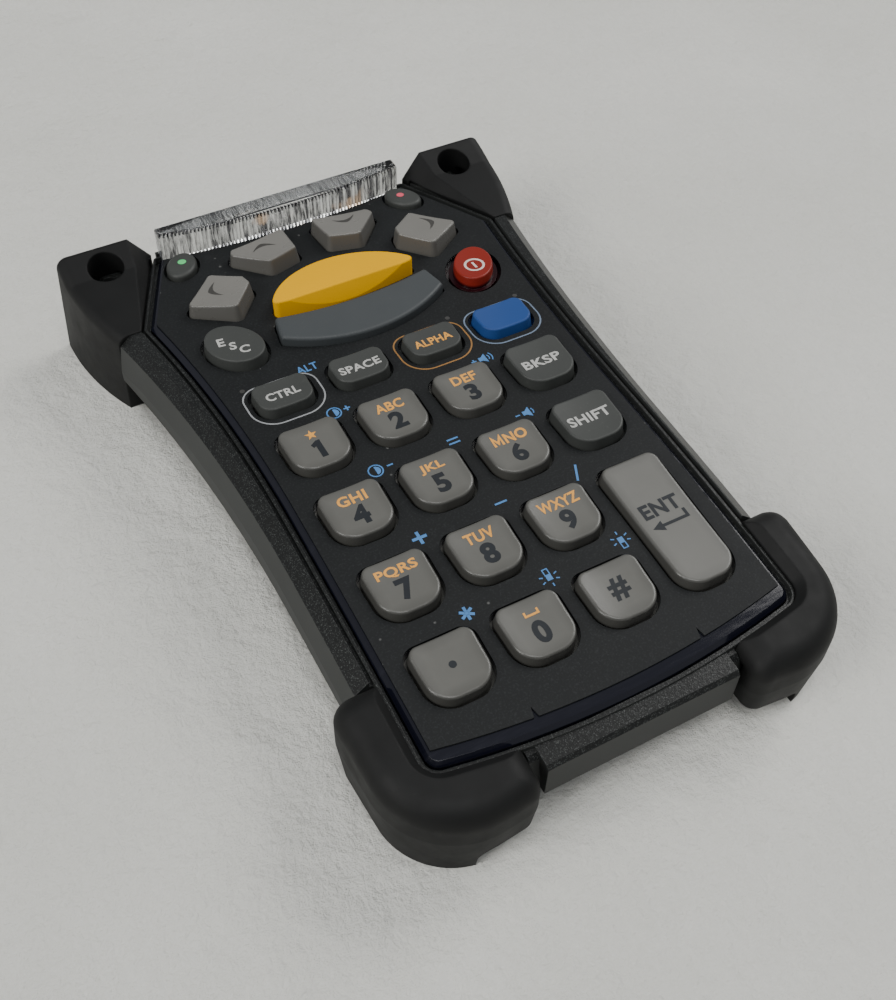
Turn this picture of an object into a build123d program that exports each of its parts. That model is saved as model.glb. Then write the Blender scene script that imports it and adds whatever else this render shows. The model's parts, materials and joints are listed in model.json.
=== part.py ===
"""A 29-key numeric keypad unit for a rugged hand-held computer, in millimetres.

+Z is up, +Y points to the light lens, the origin is under the middle of the unit on the surface
that it stands on. The keypad face is one gentle cylinder with its axis along X, and everything
near it is laid out by its depth under that face. Lengths along Y are counted from the crest of
the face, and every piece moves by MIDDLE_Y as it is written.
"""

from build123d import *
from dataclasses import dataclass
import math
import os

os.makedirs("parts", exist_ok=True)

# ---- the face and the heights under it -------------------------------------------------------
FACE_RADIUS = 498.0       # radius of the cylinder that the keypad face lies on
FACE_CREST = 17.9         # height of the crest of the face, at y = 0
OVERLAY_T = 0.3           # printed matte layer on top
PLATE_T = 1.7             # glossy face plate under it
GASKET_T = 0.4            # seal between face plate and case
UNDERSIDE = 6.8           # height of the case bottom, which the rubber corners hold up
COVER_T = 1.5             # back cover
BOARD_STANDOFF = 0.5      # pads that lift the board off the cover
BOARD_T = 1.0             # circuit board
KEYMAT_T = 0.8            # silicone sheet on the board
DOME_RISE = 0.35          # height of a snap dome on the board

# ---- face plate outline ----------------------------------------------------------------------
PLATE_WAIST_X = 28.6      # half width at the waist
PLATE_WAIST_Y = -6.0
PLATE_FLARE_R = 310.0     # side arc above the waist
PLATE_KINK_Y = 41.5       # where the side turns into the diagonal
PLATE_TOP_X = 24.3        # end of the diagonal, at the light lens
PLATE_TOP_Y = 60.3
PLATE_TOP_BOW = 2.4       # the top edge bows in by this much for the lens
PLATE_CORNER_X = 28.9     # lower corners
PLATE_CORNER_Y = -51.6
PLATE_FOOT_BOW = 2.8      # the lower edge bows out by this much
PLATE_CORNER_R = 2.0
PLATE_BEVEL = 0.6         # bevel along the rim of the plate
OVERLAY_MARGIN = 1.0      # glossy margin around the matte layer
OVERLAY_FOOT_MARGIN = 2.1
NOTCH_X = 13.3            # locating notches in the lower edge of the layer
NOTCH_W = 1.5
NOTCH_H = 1.6

# ---- case ------------------------------------------------------------------------------------
PLATE_FIT = 0.15          # play around the face plate
GROOVE_W = 1.75           # dark groove around the plate
GROOVE_DEPTH = 1.0
RIDGE_GAP = 0.7           # thin ridge in the groove, this far from the plate
RIDGE_W = 0.4
RIDGE_DROP = 0.55         # and this much under the face
LEDGE_W = 1.2             # ledge that carries the plate
LEDGE_T = 1.3
CASE_WAIST_X = 33.4       # half width of the case at its lower edge
CASE_WAIST_Y = -16.0
CASE_FLARE_R = 310.0
CASE_FOOT_X = 33.5
CASE_FOOT_Y = -56.8
CASE_FOOT_R = 5.5
CASE_WALL = 2.2
INNER_WALL = 1.5          # wall between the gutter and the board
WALL_LEAN = 1.0           # the side wall leans in by this much
WALL_LEAN_H = 7.0         # over this height
RIM_DROP = 0.35           # the rim lies this much under the face
RIM_BEVEL = 1.7
CASE_BACK_Y = 62.8        # back edge behind the lens
BAR_HALF_W = 15.3         # bar between the lower bumpers
BAR_FRONT_Y = -58.2
BAR_DROP = 0.9            # the bar lies this much under the face
BAR_BEVEL = 0.6
COVER_FIT = 0.1
BOARD_FIT = 0.4

# ---- shoulders and the rubber corners --------------------------------------------------------
SHOULDER_FRONT_X = 35.4   # the shoulder is narrower than the side wall in front of it
SHOULDER_X = 37.6
SHOULDER_BACK_Y = 60.2
SHOULDER_TOP = 14.4       # height of the shoulder under the rubber ear
EAR_HOLE_X = 34.3         # screw through each ear
EAR_HOLE_Y = 57.7
EAR_HOLE_R = 3.1
EAR_BOSS_R = 3.4
BOSS_HOLE_R = 1.7
EAR_BACK_Y = 61.8
EAR_FRONT_Y = 41.2
EAR_INNER_GAP = 1.5       # from the plate's diagonal edge to the ear
EAR_FRONT_X = (37.9, 38.7)  # outer edge at the top and on the floor: at its front end,
EAR_SIDE_X = (40.3, 41.8)   # at its middle
EAR_TIP_X = (41.5, 43.3)    # and at its back end
EAR_SIDE_Y = 49.6
EAR_INNER_SLOPE = 1.4     # rise of the slope beside the plate, for each mm outwards
EAR_TIP_Z = 18.9          # top of the ear at its back edge
EAR_HOLE_Z = 17.3         # and at the screw hole
EAR_FRONT_Z = 16.0        # and at its front edge
EAR_VALLEY = 0.2          # dip around the screw hole
EAR_ROLL_R = 2.0
EAR_CROWN_UP = 0.8        # faces that point up by this much are its top
RUBBER_FIT = 0.05
BUMPER_START_Y = -37.6    # where the lower bumpers begin on the side wall
BUMPER_INNER_GAP = 1.15   # from the plate's rim to the bumper
BUMPER_SKIN = 2.3         # rubber over the rim
BUMPER_PROUD = 1.1        # rubber above the face
BUMPER_ROLL_R = 3.6
BUMPER_INNER_BEVEL = 1.3  # slope beside the plate
BUMPER_INNER_DEG = 45.0
BUMPER_SIDE_X = 37.1      # outer side where the bumper begins
BUMPER_CORNER_X = 35.9    # outer corner, before it is rounded
BUMPER_CORNER_Y = -62.4
BUMPER_CORNER_R = 12.5
BUMPER_START_R = 3.0
BUMPER_WING_X = 16.9      # inner end of the front wing
BUMPER_WING_Y = -60.6
BUMPER_WING_R = 2.5
BUMPER_WAIST_Z = 9.0      # under this height the bumper tapers in to its foot
BUMPER_TAPER = 6.0        # in degrees
WING_HEIGHT = 4.4         # lower edge of the wing above the floor
FOOT_INNER_X = 26.4       # inner end of the foot
FOOT_ARCH_R = 2.5
FOOT_WALL = 6.5           # thickness of the rubber foot

# ---- light lens ------------------------------------------------------------------------------
LENS_HALF_W = 23.6
LENS_BACK_Y = 63.1
LENS_TOP = 18.5
LENS_BOTTOM = 11.6
LENS_FIT = 0.1
LENS_EDGE_R = 0.5

# ---- keys ------------------------------------------------------------------------------------
TRAVEL = 0.8              # how far a key goes down
COLUMN = 13.2             # pitch of the columns
ROW = 14.2                # pitch of the digit rows
ROW_1_Y = 1.8             # centre of the row with 1, 2 and 3
FUNCTION_ROW_Y = 14.3
KEY_GAP = 0.3             # play between a large or arrow key and its hole
PAD_GAP = 0.5             # between any other key and its hole
FLANGE_W = 0.55           # flange that keeps a key in, beyond the hole
FLANGE_T = 0.8
FLANGE_GAP = 0.08         # between the flange and the plate at rest
FLANGE_RELIEF = 0.3       # play around the flange inside the case
PLUNGER_R = 1.2
PLUNGER_GAP = 0.08        # between the plunger and its dome with the key down
SINK = 0.7                # how deep a cap reaches into its hole
SHANK_INSET = 0.15        # the shank under it is this much smaller all round
PAD_W = 11.3
PAD_H = 10.7
ENTER_H = 24.7
FUNCTION_W = 10.9
FUNCTION_H = 7.7
TOP_CORNER_R = 2.3
FOOT_CORNER_R = 4.4
FOOT_TAPER = 0.3
LOWEST_CORNER = 0.8       # a foot corner is rounded by at most this share of half the height
PAD_RISE = 1.35           # digit keys stand this far out of the face
DARK_PAD_RISE = 1.6
FUNCTION_RISE = 1.55
PAD_DISH = 0.3            # hollow in the top of a key
PAD_ROUND = 0.4
CAP_ROUND = 0.3
PAD_LEAN = 0.45           # the wall of a digit key leans in by this much
CAP_LEAN = 0.5            # and the wall of a dark key
OVAL_X = 22.2             # escape and power keys
OVAL_Y = 28.5
OVAL_LONG = 6.2
OVAL_SHORT = 4.9
OVAL_ANGLE = 120.0
ESCAPE_RISE = 1.7
POWER_RISE = 1.9
POWER_INSET = 0.8
DOT_X = 21.9              # small keys beside the lens
DOT_Y = 54.8
DOT_LONG = 4.3
DOT_SHORT = 3.15
DOT_ANGLE = 62.0
DOT_RISE = 1.0
DOT_ROUND = 0.7
ARROW_RISE = 2.5
ARROW_TILT = 5.0          # arrow keys fall away from the middle
ARROW_LEAN = 0.7          # their walls lean in by this much
ARROW_SPARE = 1.0         # height over the middle of the top that its lean may take
ARROW_ROUND = 0.35
ARROW_CORNER_R = 1.3
ARROWS = [                # left key, right twin, centre and corners of the left one around it
    ("key_arrow_left", "key_arrow_right", (-19.6, 41.6),
     [(-6.7, -0.8), (1.2, -6.5), (6.0, -0.5), (5.5, 2.2), (0.2, 6.5)]),
    ("key_arrow_up", "key_arrow_down", (-8.3, 49.8),
     [(-6.1, 1.2), (-0.5, -5.3), (5.7, -3.5), (6.0, 5.1), (-5.3, 3.3)]),
]
SCAN_Y = 28.0             # centre of the half-moon key's arc
SCAN_R = 14.4
SCAN_FRONT_Y = 31.8       # its front edge
SCAN_FRONT_R = 62.0
SCAN_FRONT_LEAN = 18.0    # lean of a flat on its front wall
SCAN_RISE = 2.45
SCAN_TILT = 8.5
SCAN_ROUND = 0.35
SCAN_CORNER_R = 1.05
BAR_KEY_FOOT_Y = 21.2
BAR_KEY_R = 25.0
BAR_KEY_BACK_Y = 29.7     # its back edge, parallel to the front of the half-moon key
BAR_KEY_HALF_W = 14.9
BAR_KEY_SLANT = 1.2       # its ends slant in by this much
BAR_KEY_SHOULDER = 4.8    # over this length
BAR_KEY_RISE = 1.6
BAR_KEY_TILT = -2.5
BAR_KEY_ROUND = 0.6

# ---- electronics -----------------------------------------------------------------------------
DOME_R = 2.0
DOME_OPENING_R = 2.6      # opening in the keymat around a dome
LED_L = 1.6
LED_W = 0.8
LED_H = 0.55
LAMP_COUNT = 5            # lamps under the light lens
LAMP_PITCH = 8.0
LAMP_Y = 60.4
TAB_HALF_W = 19.0         # tab of the board that reaches under the lens
TAB_BACK_Y = 61.6
CHIP_SIZE = 4.0
CHIP_T = 0.9
CHIP_Y = -48.3
CONNECTOR_L = 20.0
CONNECTOR_W = 4.6
CONNECTOR_Y = -19.5
CONNECTOR_WALL = 0.6
CONNECTOR_FIT = 0.3
BOARD_SCREW_HEAD_R = 1.5
BOARD_SCREW_HEAD_T = 0.7
BOARD_SCREW_R = 0.7
BOARD_SCREW_L = 2.4
BOARD_SCREW_X = 25.4
BOARD_SCREW_Y = (-46.5, -19.5, 8.0, 36.5)
PAD_R = 1.9               # pads on the cover around the board screws
COVER_SCREW_HEAD_R = 1.8
COVER_SCREW_HEAD_T = 0.7
COVER_SCREW_R = 0.9
COVER_SCREW_L = 4.5
COVER_SCREW_Y = (-33.7, -5.3, 31.0)
COVER_SCREW_EDGE = 0.6    # from its head to the edge of the cover
SCREW_SLOT_W = 0.4
SCREW_FIT = 0.05
SCREW_BOSS_R = 2.0

# ---- heights that follow ---------------------------------------------------------------------
COVER_TOP = UNDERSIDE + COVER_T
BOARD_BOTTOM = COVER_TOP + BOARD_STANDOFF
BOARD_TOP = BOARD_BOTTOM + BOARD_T
KEYMAT_TOP = BOARD_TOP + KEYMAT_T
DOME_TOP = BOARD_TOP + DOME_RISE
PLUNGER_TIP = DOME_TOP + PLUNGER_GAP + TRAVEL
PLATE_UNDER = OVERLAY_T + PLATE_T            # depth of the plate's underside under the face
LEDGE_DEPTH = PLATE_UNDER + GASKET_T
FLANGE_TOP = PLATE_UNDER + FLANGE_GAP
FLANGE_BOTTOM = FLANGE_TOP + FLANGE_T
COLUMNS = [COLUMN * (i - 1.5) for i in range(4)]
ROWS = [ROW_1_Y - ROW * i for i in range(4)]

SPAN = 200.0              # larger than the whole unit, for cutting shapes
MIDDLE_Y = 0.94           # middle of the whole unit's length, which goes to the origin
PLATE_FOOT_R = (PLATE_CORNER_X ** 2 + PLATE_FOOT_BOW ** 2) / (2 * PLATE_FOOT_BOW)
PLATE_FOOT_CENTRE_Y = PLATE_CORNER_Y - PLATE_FOOT_BOW + PLATE_FOOT_R


# ---- the face as a surface -------------------------------------------------------------------
def face_z(y, depth=0.0):
    """Height at y of the surface that lies depth under the face."""
    radius = FACE_RADIUS - depth
    return FACE_CREST - FACE_RADIUS + math.sqrt(radius ** 2 - y ** 2)


def face_tilt(y):
    """Slope of the face at y, in degrees."""
    return math.degrees(math.asin(y / FACE_RADIUS))


def under(depth):
    """Everything lower than the surface that lies depth under the face."""
    roll = Rot(0, 90, 0) * Cylinder(FACE_RADIUS - depth, SPAN)
    return Pos(0, 0, FACE_CREST - FACE_RADIUS) * roll


def column(outline, low, high):
    """Upright body over an outline, between two heights."""
    return Pos(0, 0, low) * extrude(outline, amount=high - low, dir=(0, 0, 1))


def under_face(outline, depth, low):
    """Upright body over an outline, from a height up to a surface under the face."""
    return column(outline, low, low + SPAN / 2) & under(depth)


def face_layer(outline, depth, thickness):
    """Curved sheet of one thickness, lying depth under the face."""
    return under_face(outline, depth, 0.0) - under(depth + thickness)


def both_sides(shape):
    """A shape and its mirror image across the middle."""
    return shape + mirror(shape, about=Plane.YZ)


def outline_face(edges):
    """Flat face inside a closed run of edges."""
    return make_face(Curve() + edges)


def flare_x(waist_x, waist_y, radius, y):
    """Half width at y of a side that flares away from its waist."""
    return waist_x + radius - math.sqrt(radius ** 2 - (y - waist_y) ** 2)


def flare_arc(waist_x, waist_y, radius, top_y):
    """Side arc from the waist up to top_y."""
    middle_y = (waist_y + top_y) / 2
    middle = (flare_x(waist_x, waist_y, radius, middle_y), middle_y)
    top = (flare_x(waist_x, waist_y, radius, top_y), top_y)
    return ThreePointArc((waist_x, waist_y), middle, top)


# ---- outlines of the plate, the layer and the case -------------------------------------------
def plate_outline():
    """Face plate: waisted sides, diagonals at the top, a bowed lower edge."""
    waist = (PLATE_WAIST_X, PLATE_WAIST_Y)
    kink_x = flare_x(PLATE_WAIST_X, PLATE_WAIST_Y, PLATE_FLARE_R, PLATE_KINK_Y)
    corner = (PLATE_CORNER_X, PLATE_CORNER_Y)
    right = [
        Line(corner, waist),
        flare_arc(PLATE_WAIST_X, PLATE_WAIST_Y, PLATE_FLARE_R, PLATE_KINK_Y),
        Line((kink_x, PLATE_KINK_Y), (PLATE_TOP_X, PLATE_TOP_Y)),
    ]
    left = [edge.mirror(Plane.YZ) for edge in right]
    top_middle = (0, PLATE_TOP_Y - PLATE_TOP_BOW)
    foot_middle = (0, PLATE_CORNER_Y - PLATE_FOOT_BOW)
    top = ThreePointArc((PLATE_TOP_X, PLATE_TOP_Y), top_middle, (-PLATE_TOP_X, PLATE_TOP_Y))
    foot = ThreePointArc((-PLATE_CORNER_X, PLATE_CORNER_Y), foot_middle, corner)
    face = outline_face(right + [top] + left + [foot])
    return fillet(face.vertices().group_by(Axis.Y)[0], PLATE_CORNER_R)


def overlay_outline(plate):
    """Matte layer: inside the plate's glossy margin, with two locating notches."""
    foot_disc = Pos(0, PLATE_FOOT_CENTRE_Y) * Circle(PLATE_FOOT_R - OVERLAY_FOOT_MARGIN)
    sheet = offset(plate, -OVERLAY_MARGIN) & foot_disc
    foot_y = PLATE_FOOT_CENTRE_Y - math.sqrt((PLATE_FOOT_R - OVERLAY_FOOT_MARGIN) ** 2 - NOTCH_X ** 2)
    notch = Polygon((-NOTCH_W / 2, -NOTCH_H), (NOTCH_W / 2, -NOTCH_H), (0, NOTCH_H), align=None)
    for side in (-1, 1):
        sheet -= Pos(side * NOTCH_X, foot_y) * notch
    return sheet


def case_outline():
    """Case without the front bar: waisted sides and shoulders that carry the ears."""
    step_y = EAR_FRONT_Y - RUBBER_FIT
    flare_top_x = flare_x(CASE_WAIST_X, CASE_WAIST_Y, CASE_FLARE_R, step_y)
    right = [
        Line((CASE_FOOT_X, CASE_FOOT_Y), (CASE_WAIST_X, CASE_WAIST_Y)),
        flare_arc(CASE_WAIST_X, CASE_WAIST_Y, CASE_FLARE_R, step_y),
        Line((flare_top_x, step_y), (SHOULDER_FRONT_X, step_y)),
        Line((SHOULDER_FRONT_X, step_y), (SHOULDER_X, SHOULDER_BACK_Y)),
        Line((SHOULDER_X, SHOULDER_BACK_Y), (PLATE_TOP_X, SHOULDER_BACK_Y)),
        Line((PLATE_TOP_X, SHOULDER_BACK_Y), (PLATE_TOP_X, CASE_BACK_Y)),
    ]
    left = [edge.mirror(Plane.YZ) for edge in right]
    back = Line((PLATE_TOP_X, CASE_BACK_Y), (-PLATE_TOP_X, CASE_BACK_Y))
    foot = Line((-CASE_FOOT_X, CASE_FOOT_Y), (CASE_FOOT_X, CASE_FOOT_Y))
    face = outline_face(right + [back] + left + [foot])
    return fillet(face.vertices().group_by(Axis.Y)[0], CASE_FOOT_R)


def lens_outline():
    """Light lens: its front follows the bowed top edge of the face plate."""
    blank = Pos(0, LENS_BACK_Y - SPAN / 4) * Rectangle(2 * LENS_HALF_W, SPAN / 2)
    bow_r = (PLATE_TOP_X ** 2 + PLATE_TOP_BOW ** 2) / (2 * PLATE_TOP_BOW)
    front_disc = Pos(0, PLATE_TOP_Y - PLATE_TOP_BOW + bow_r) * Circle(bow_r - LENS_FIT)
    return blank & front_disc


# ---- key outlines, each around the centre of its own key -------------------------------------
def pad_hole(width, height):
    """Hole of a digit or function key: squarer at the top, rounder at the foot."""
    half_w = width / 2
    half_h = height / 2
    foot_w = half_w - FOOT_TAPER
    corners = [(-foot_w, -half_h), (foot_w, -half_h), (half_w, half_h), (-half_w, half_h)]
    square = Polygon(*corners, align=None)
    square = fillet(square.vertices().group_by(Axis.Y)[-1], TOP_CORNER_R)
    corner_r = min(FOOT_CORNER_R, LOWEST_CORNER * half_h)
    return fillet(square.vertices().group_by(Axis.Y)[0], corner_r)


def oval(long_r, short_r, angle, inset=0.0):
    """Outline of an oval key that leans by an angle."""
    return Rot(0, 0, angle) * Ellipse(long_r - inset, short_r - inset)


def arrow_hole(points):
    """Hole of a five-cornered arrow key."""
    base = Polygon(*points, align=None)
    return offset(fillet(base.vertices(), ARROW_CORNER_R), KEY_GAP)


def scan_outline():
    """Half-moon key, in place on the face."""
    front_disc = Pos(0, SCAN_FRONT_Y + SCAN_FRONT_R) * Circle(SCAN_FRONT_R)
    moon = Pos(0, SCAN_Y) * Circle(SCAN_R) & front_disc
    return fillet(moon.vertices(), SCAN_CORNER_R)


def bar_key_outline():
    """Curved bar key, its back parallel to the front of the half-moon key, in place on the face."""
    back_disc = Pos(0, SCAN_FRONT_Y + SCAN_FRONT_R) * Circle(SCAN_FRONT_R + SCAN_FRONT_Y - BAR_KEY_BACK_Y)
    disc = Pos(0, BAR_KEY_FOOT_Y + BAR_KEY_R) * Circle(BAR_KEY_R)
    back_y = SCAN_FRONT_Y + 2 * BAR_KEY_ROUND
    sides = Polygon(
        (-BAR_KEY_HALF_W, BAR_KEY_FOOT_Y),
        (BAR_KEY_HALF_W, BAR_KEY_FOOT_Y),
        (BAR_KEY_HALF_W, SCAN_FRONT_Y - BAR_KEY_SHOULDER),
        (BAR_KEY_HALF_W - BAR_KEY_SLANT, back_y),
        (-BAR_KEY_HALF_W + BAR_KEY_SLANT, back_y),
        (-BAR_KEY_HALF_W, SCAN_FRONT_Y - BAR_KEY_SHOULDER),
        align=None,
    )
    bar = (disc & sides) - back_disc
    return fillet(bar.vertices().group_by(Axis.Y)[-1], BAR_KEY_ROUND)


# ---- key caps, around the key's centre with z = 0 on the face --------------------------------
def rising(outline, low, high, taper=0.0):
    """Body over an outline between two heights of the cap."""
    return Pos(0, 0, low) * extrude(outline, amount=high - low, dir=(0, 0, 1), taper=taper)


def dish(hole, rise, lean=(0.0, 0.0)):
    """Ball that hollows the top of a cap; lean tips the hollow that way, in degrees."""
    size = hole.bounding_box().size
    radius = max(size.X, size.Y) ** 2 / (8 * PAD_DISH)
    tip_x = math.sin(math.radians(lean[0]))
    tip_y = math.sin(math.radians(lean[1]))
    tip_z = math.sqrt(1 - tip_x ** 2 - tip_y ** 2)
    centre = (radius * tip_x, radius * tip_y, rise - PAD_DISH + radius * tip_z)
    return Pos(*centre) * Sphere(radius)


def slope(rise, tilt):
    """Everything above a plane that falls towards +Y by the tilt."""
    return Pos(0, 0, rise) * Rot(-tilt, 0, 0) * Pos(0, 0, SPAN / 4) * Box(SPAN, SPAN, SPAN / 2)


def top_edges(cap):
    """Edges around the top of a cap."""
    return cap.faces().sort_by(Axis.Z)[-1].edges()


def plain_cap(foot, top, rise, rounding=CAP_ROUND):
    """Cap with one leaning wall and a slightly hollowed top."""
    wall = loft([(Pos(0, 0, -SINK) * foot).face(), (Pos(0, 0, 2 * rise) * top).face()], ruled=True)
    return fillet(top_edges(wall - dish(foot, rise)), rounding)


def digit_cap(hole, rise):
    """Light key over a pad hole."""
    foot = offset(hole, -PAD_GAP)
    return plain_cap(foot, offset(foot, -PAD_LEAN), rise, PAD_ROUND)


def pad_cap(hole, rise):
    """Dark key over a pad hole."""
    foot = offset(hole, -PAD_GAP)
    return plain_cap(foot, offset(foot, -CAP_LEAN), rise)


def oval_cap(axes, inset, rise):
    """Dark key over an oval hole."""
    foot = oval(*axes, PAD_GAP + inset)
    return plain_cap(foot, oval(*axes, PAD_GAP + inset + CAP_LEAN), rise)


def domed_cap(axes):
    """Small oval key with a flat-topped dome."""
    wall = rising(oval(*axes, PAD_GAP), -SINK, DOT_RISE)
    return fillet(top_edges(wall), DOT_ROUND)


def arrow_cap(hole, rise, lean):
    """Arrow key: leaning walls under a hollowed top that leans outwards."""
    foot = offset(hole, -KEY_GAP)
    top = Pos(0, 0, rise + ARROW_SPARE) * offset(foot, -ARROW_LEAN)
    wall = loft([(Pos(0, 0, -SINK) * foot).face(), top.face()], ruled=True)
    return fillet(top_edges(wall - dish(hole, rise, lean)), ARROW_ROUND)


def sloped_cap(foot, rise, tilt, rounding, cut=None):
    """Large key whose top is one slope, with room for one more cut before its edges are rounded."""
    wall = rising(foot, -SINK, 2 * rise + SINK) - slope(rise, tilt)
    if cut:
        wall -= cut
    return fillet(top_edges(wall), rounding)


# ---- the keys --------------------------------------------------------------------------------
@dataclass
class Key:
    """One key: where it is, its outlines around its centre and its cap."""
    name: str
    x: float
    y: float
    hole: Sketch
    shank: Sketch
    flange: Sketch
    relief: Sketch
    cap: Part


def make_key(name, x, y, hole, cap, gap=PAD_GAP):
    """Key whose shank, flange and relief follow its hole."""
    shank = offset(hole, -gap - SHANK_INSET)
    flange = offset(hole, FLANGE_W)
    relief = offset(hole, FLANGE_W + FLANGE_RELIEF)
    return Key(name, x, y, hole, shank, flange, relief, cap)


def oval_key(name, x, y, axes, cap):
    """The same for an oval key, from its two half axes and its angle."""
    shank = oval(*axes, PAD_GAP + SHANK_INSET)
    flange = oval(*axes, -FLANGE_W)
    relief = oval(*axes, -FLANGE_W - FLANGE_RELIEF)
    return Key(name, x, y, oval(*axes), shank, flange, relief, cap)


def mirrored_key(key, name):
    """The same key on the other side."""
    shapes = (key.hole, key.shank, key.flange, key.relief, key.cap)
    return Key(name, -key.x, key.y, *[mirror(shape, about=Plane.YZ) for shape in shapes])


def pad_keys():
    """Digits, their neighbours and the tall enter key."""
    names = [
        ("key_1", "key_2", "key_3", "key_backspace"),
        ("key_4", "key_5", "key_6", "key_shift"),
        ("key_7", "key_8", "key_9", None),
        ("key_dot", "key_0", "key_hash", None),
    ]
    hole = pad_hole(PAD_W, PAD_H)
    light_cap = digit_cap(hole, PAD_RISE)
    dark_cap = pad_cap(hole, DARK_PAD_RISE)
    keys = []
    for y, row in zip(ROWS, names):
        for x, name in zip(COLUMNS, row):
            dark = name in ("key_backspace", "key_shift")
            cap = dark_cap if dark else light_cap
            if name:
                keys.append(make_key(name, x, y, hole, cap))
    enter_hole = pad_hole(PAD_W, ENTER_H)
    enter_y = (ROWS[2] + ROWS[3]) / 2
    keys.append(make_key("key_enter", COLUMNS[3], enter_y, enter_hole, digit_cap(enter_hole, PAD_RISE)))
    return keys


def function_keys():
    """Row of four low keys above the digits."""
    hole = pad_hole(FUNCTION_W, FUNCTION_H)
    cap = pad_cap(hole, FUNCTION_RISE)
    names = ("key_ctrl", "key_space", "key_alpha", "key_function")
    return [make_key(name, x, FUNCTION_ROW_Y, hole, cap) for name, x in zip(names, COLUMNS)]


def oval_keys():
    """Escape and power keys, and the two small keys beside the lens."""
    large = (OVAL_LONG, OVAL_SHORT, OVAL_ANGLE)
    small = (DOT_LONG, DOT_SHORT, DOT_ANGLE)
    escape = oval_key("key_escape", -OVAL_X, OVAL_Y, large, oval_cap(large, 0.0, ESCAPE_RISE))
    power = oval_key("key_power", -OVAL_X, OVAL_Y, large, oval_cap(large, POWER_INSET, POWER_RISE))
    dot = oval_key("key_green_dot", -DOT_X, DOT_Y, small, domed_cap(small))
    return [escape, mirrored_key(power, "key_power"), dot, mirrored_key(dot, "key_red_dot")]


def arrow_keys():
    """Four arrow keys around the half-moon key."""
    keys = []
    for name, twin, centre, points in ARROWS:
        hole = arrow_hole(points)
        reach = math.hypot(centre[0], centre[1] - SCAN_Y)
        lean = (ARROW_TILT * centre[0] / reach, ARROW_TILT * (centre[1] - SCAN_Y) / reach)
        key = make_key(name, *centre, hole, arrow_cap(hole, ARROW_RISE, lean), KEY_GAP)
        keys.append(key)
        keys.append(mirrored_key(key, twin))
    return keys


def large_keys():
    """Half-moon scan key and the bar key in front of it."""
    scan_y = (SCAN_Y + SCAN_R + SCAN_FRONT_Y) / 2
    bar_y = (BAR_KEY_BACK_Y + BAR_KEY_FOOT_Y) / 2
    scan = Pos(0, -scan_y) * scan_outline()
    bar = Pos(0, -bar_y) * bar_key_outline()
    front = Pos(0, SCAN_FRONT_Y - scan_y, 0) * Rot(-SCAN_FRONT_LEAN, 0, 0)
    flat = front * Pos(0, -SPAN / 4, 0) * Box(SPAN, SPAN / 2, SPAN)
    scan_cap = sloped_cap(scan, SCAN_RISE, SCAN_TILT, SCAN_ROUND, flat)
    bar_cap = sloped_cap(bar, BAR_KEY_RISE, BAR_KEY_TILT, BAR_KEY_ROUND)
    return [
        make_key("key_scan", 0, scan_y, offset(scan, KEY_GAP), scan_cap, KEY_GAP),
        make_key("key_bar", 0, bar_y, offset(bar, KEY_GAP), bar_cap, KEY_GAP),
    ]


def key_solid(key):
    """Cap, shank in the hole, flange under the plate and plunger over the dome, as one piece."""
    place = Pos(key.x, key.y)
    shank = face_layer(place * key.shank, SINK / 2, FLANGE_BOTTOM - SINK / 2)
    flange = face_layer(place * key.flange, FLANGE_TOP, FLANGE_T)
    cap = Pos(key.x, key.y, face_z(key.y)) * Rot(-face_tilt(key.y), 0, 0) * key.cap
    plunger = column(place * Circle(PLUNGER_R), PLUNGER_TIP, face_z(key.y, FLANGE_BOTTOM) + FLANGE_T / 2)
    return shank + flange + cap + plunger


# ---- case ------------------------------------------------------------------------------------
def diagonal_x(y, gap):
    """X at y of the line that runs beside the plate's diagonal edge, gap outside it."""
    kink_x = flare_x(PLATE_WAIST_X, PLATE_WAIST_Y, PLATE_FLARE_R, PLATE_KINK_Y)
    slant = (PLATE_TOP_X - kink_x) / (PLATE_TOP_Y - PLATE_KINK_Y)
    return kink_x + slant * (y - PLATE_KINK_Y) + gap * math.hypot(1, slant)


def block_outline(low_x, high_x, low_y, high_y):
    """Rectangle between two x and two y."""
    return Pos((low_x + high_x) / 2, (low_y + high_y) / 2) * Rectangle(high_x - low_x, high_y - low_y)


def ear_area(gap):
    """Plan area of the two rubber ears, grown by a gap."""
    front_y = EAR_FRONT_Y - gap
    inner = EAR_INNER_GAP - gap
    far = SPAN / 2
    area = Polygon(
        (diagonal_x(front_y, inner), front_y),
        (far, front_y),
        (far, far),
        (diagonal_x(EAR_BACK_Y, inner), far),
        (diagonal_x(EAR_BACK_Y, inner), EAR_BACK_Y),
        align=None,
    )
    return both_sides(area)


def bumper_area(plate, gap):
    """Plan area of the two lower rubber corners, grown by a gap."""
    area = block_outline(BUMPER_WING_X - gap, SPAN / 2, -SPAN / 2, BUMPER_START_Y + gap)
    return both_sides(area) - offset(plate, BUMPER_INNER_GAP - gap)


def both(points):
    """Points and their mirror images."""
    return points + [(-x, y) for x, y in points]


def boss_x(y):
    """X of a cover screw at y, its head just inside the case wall."""
    case_x = flare_x(CASE_WAIST_X, CASE_WAIST_Y, CASE_FLARE_R, max(y, CASE_WAIST_Y))
    return case_x - CASE_WALL - COVER_SCREW_HEAD_R - COVER_SCREW_EDGE


def circles(points, radius):
    """A circle at each point."""
    return Sketch() + [Pos(x, y) * Circle(radius) for x, y in points]


def case_hollow(plate, outline):
    """Plan area of the gutter inside the case wall, around the screw bosses."""
    gutter = offset(outline, -CASE_WALL) - offset(plate, INNER_WALL - LEDGE_W)
    gutter -= circles(COVER_SCREWS, SCREW_BOSS_R)
    return gutter - circles(EAR_SCREWS, EAR_BOSS_R)


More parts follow.
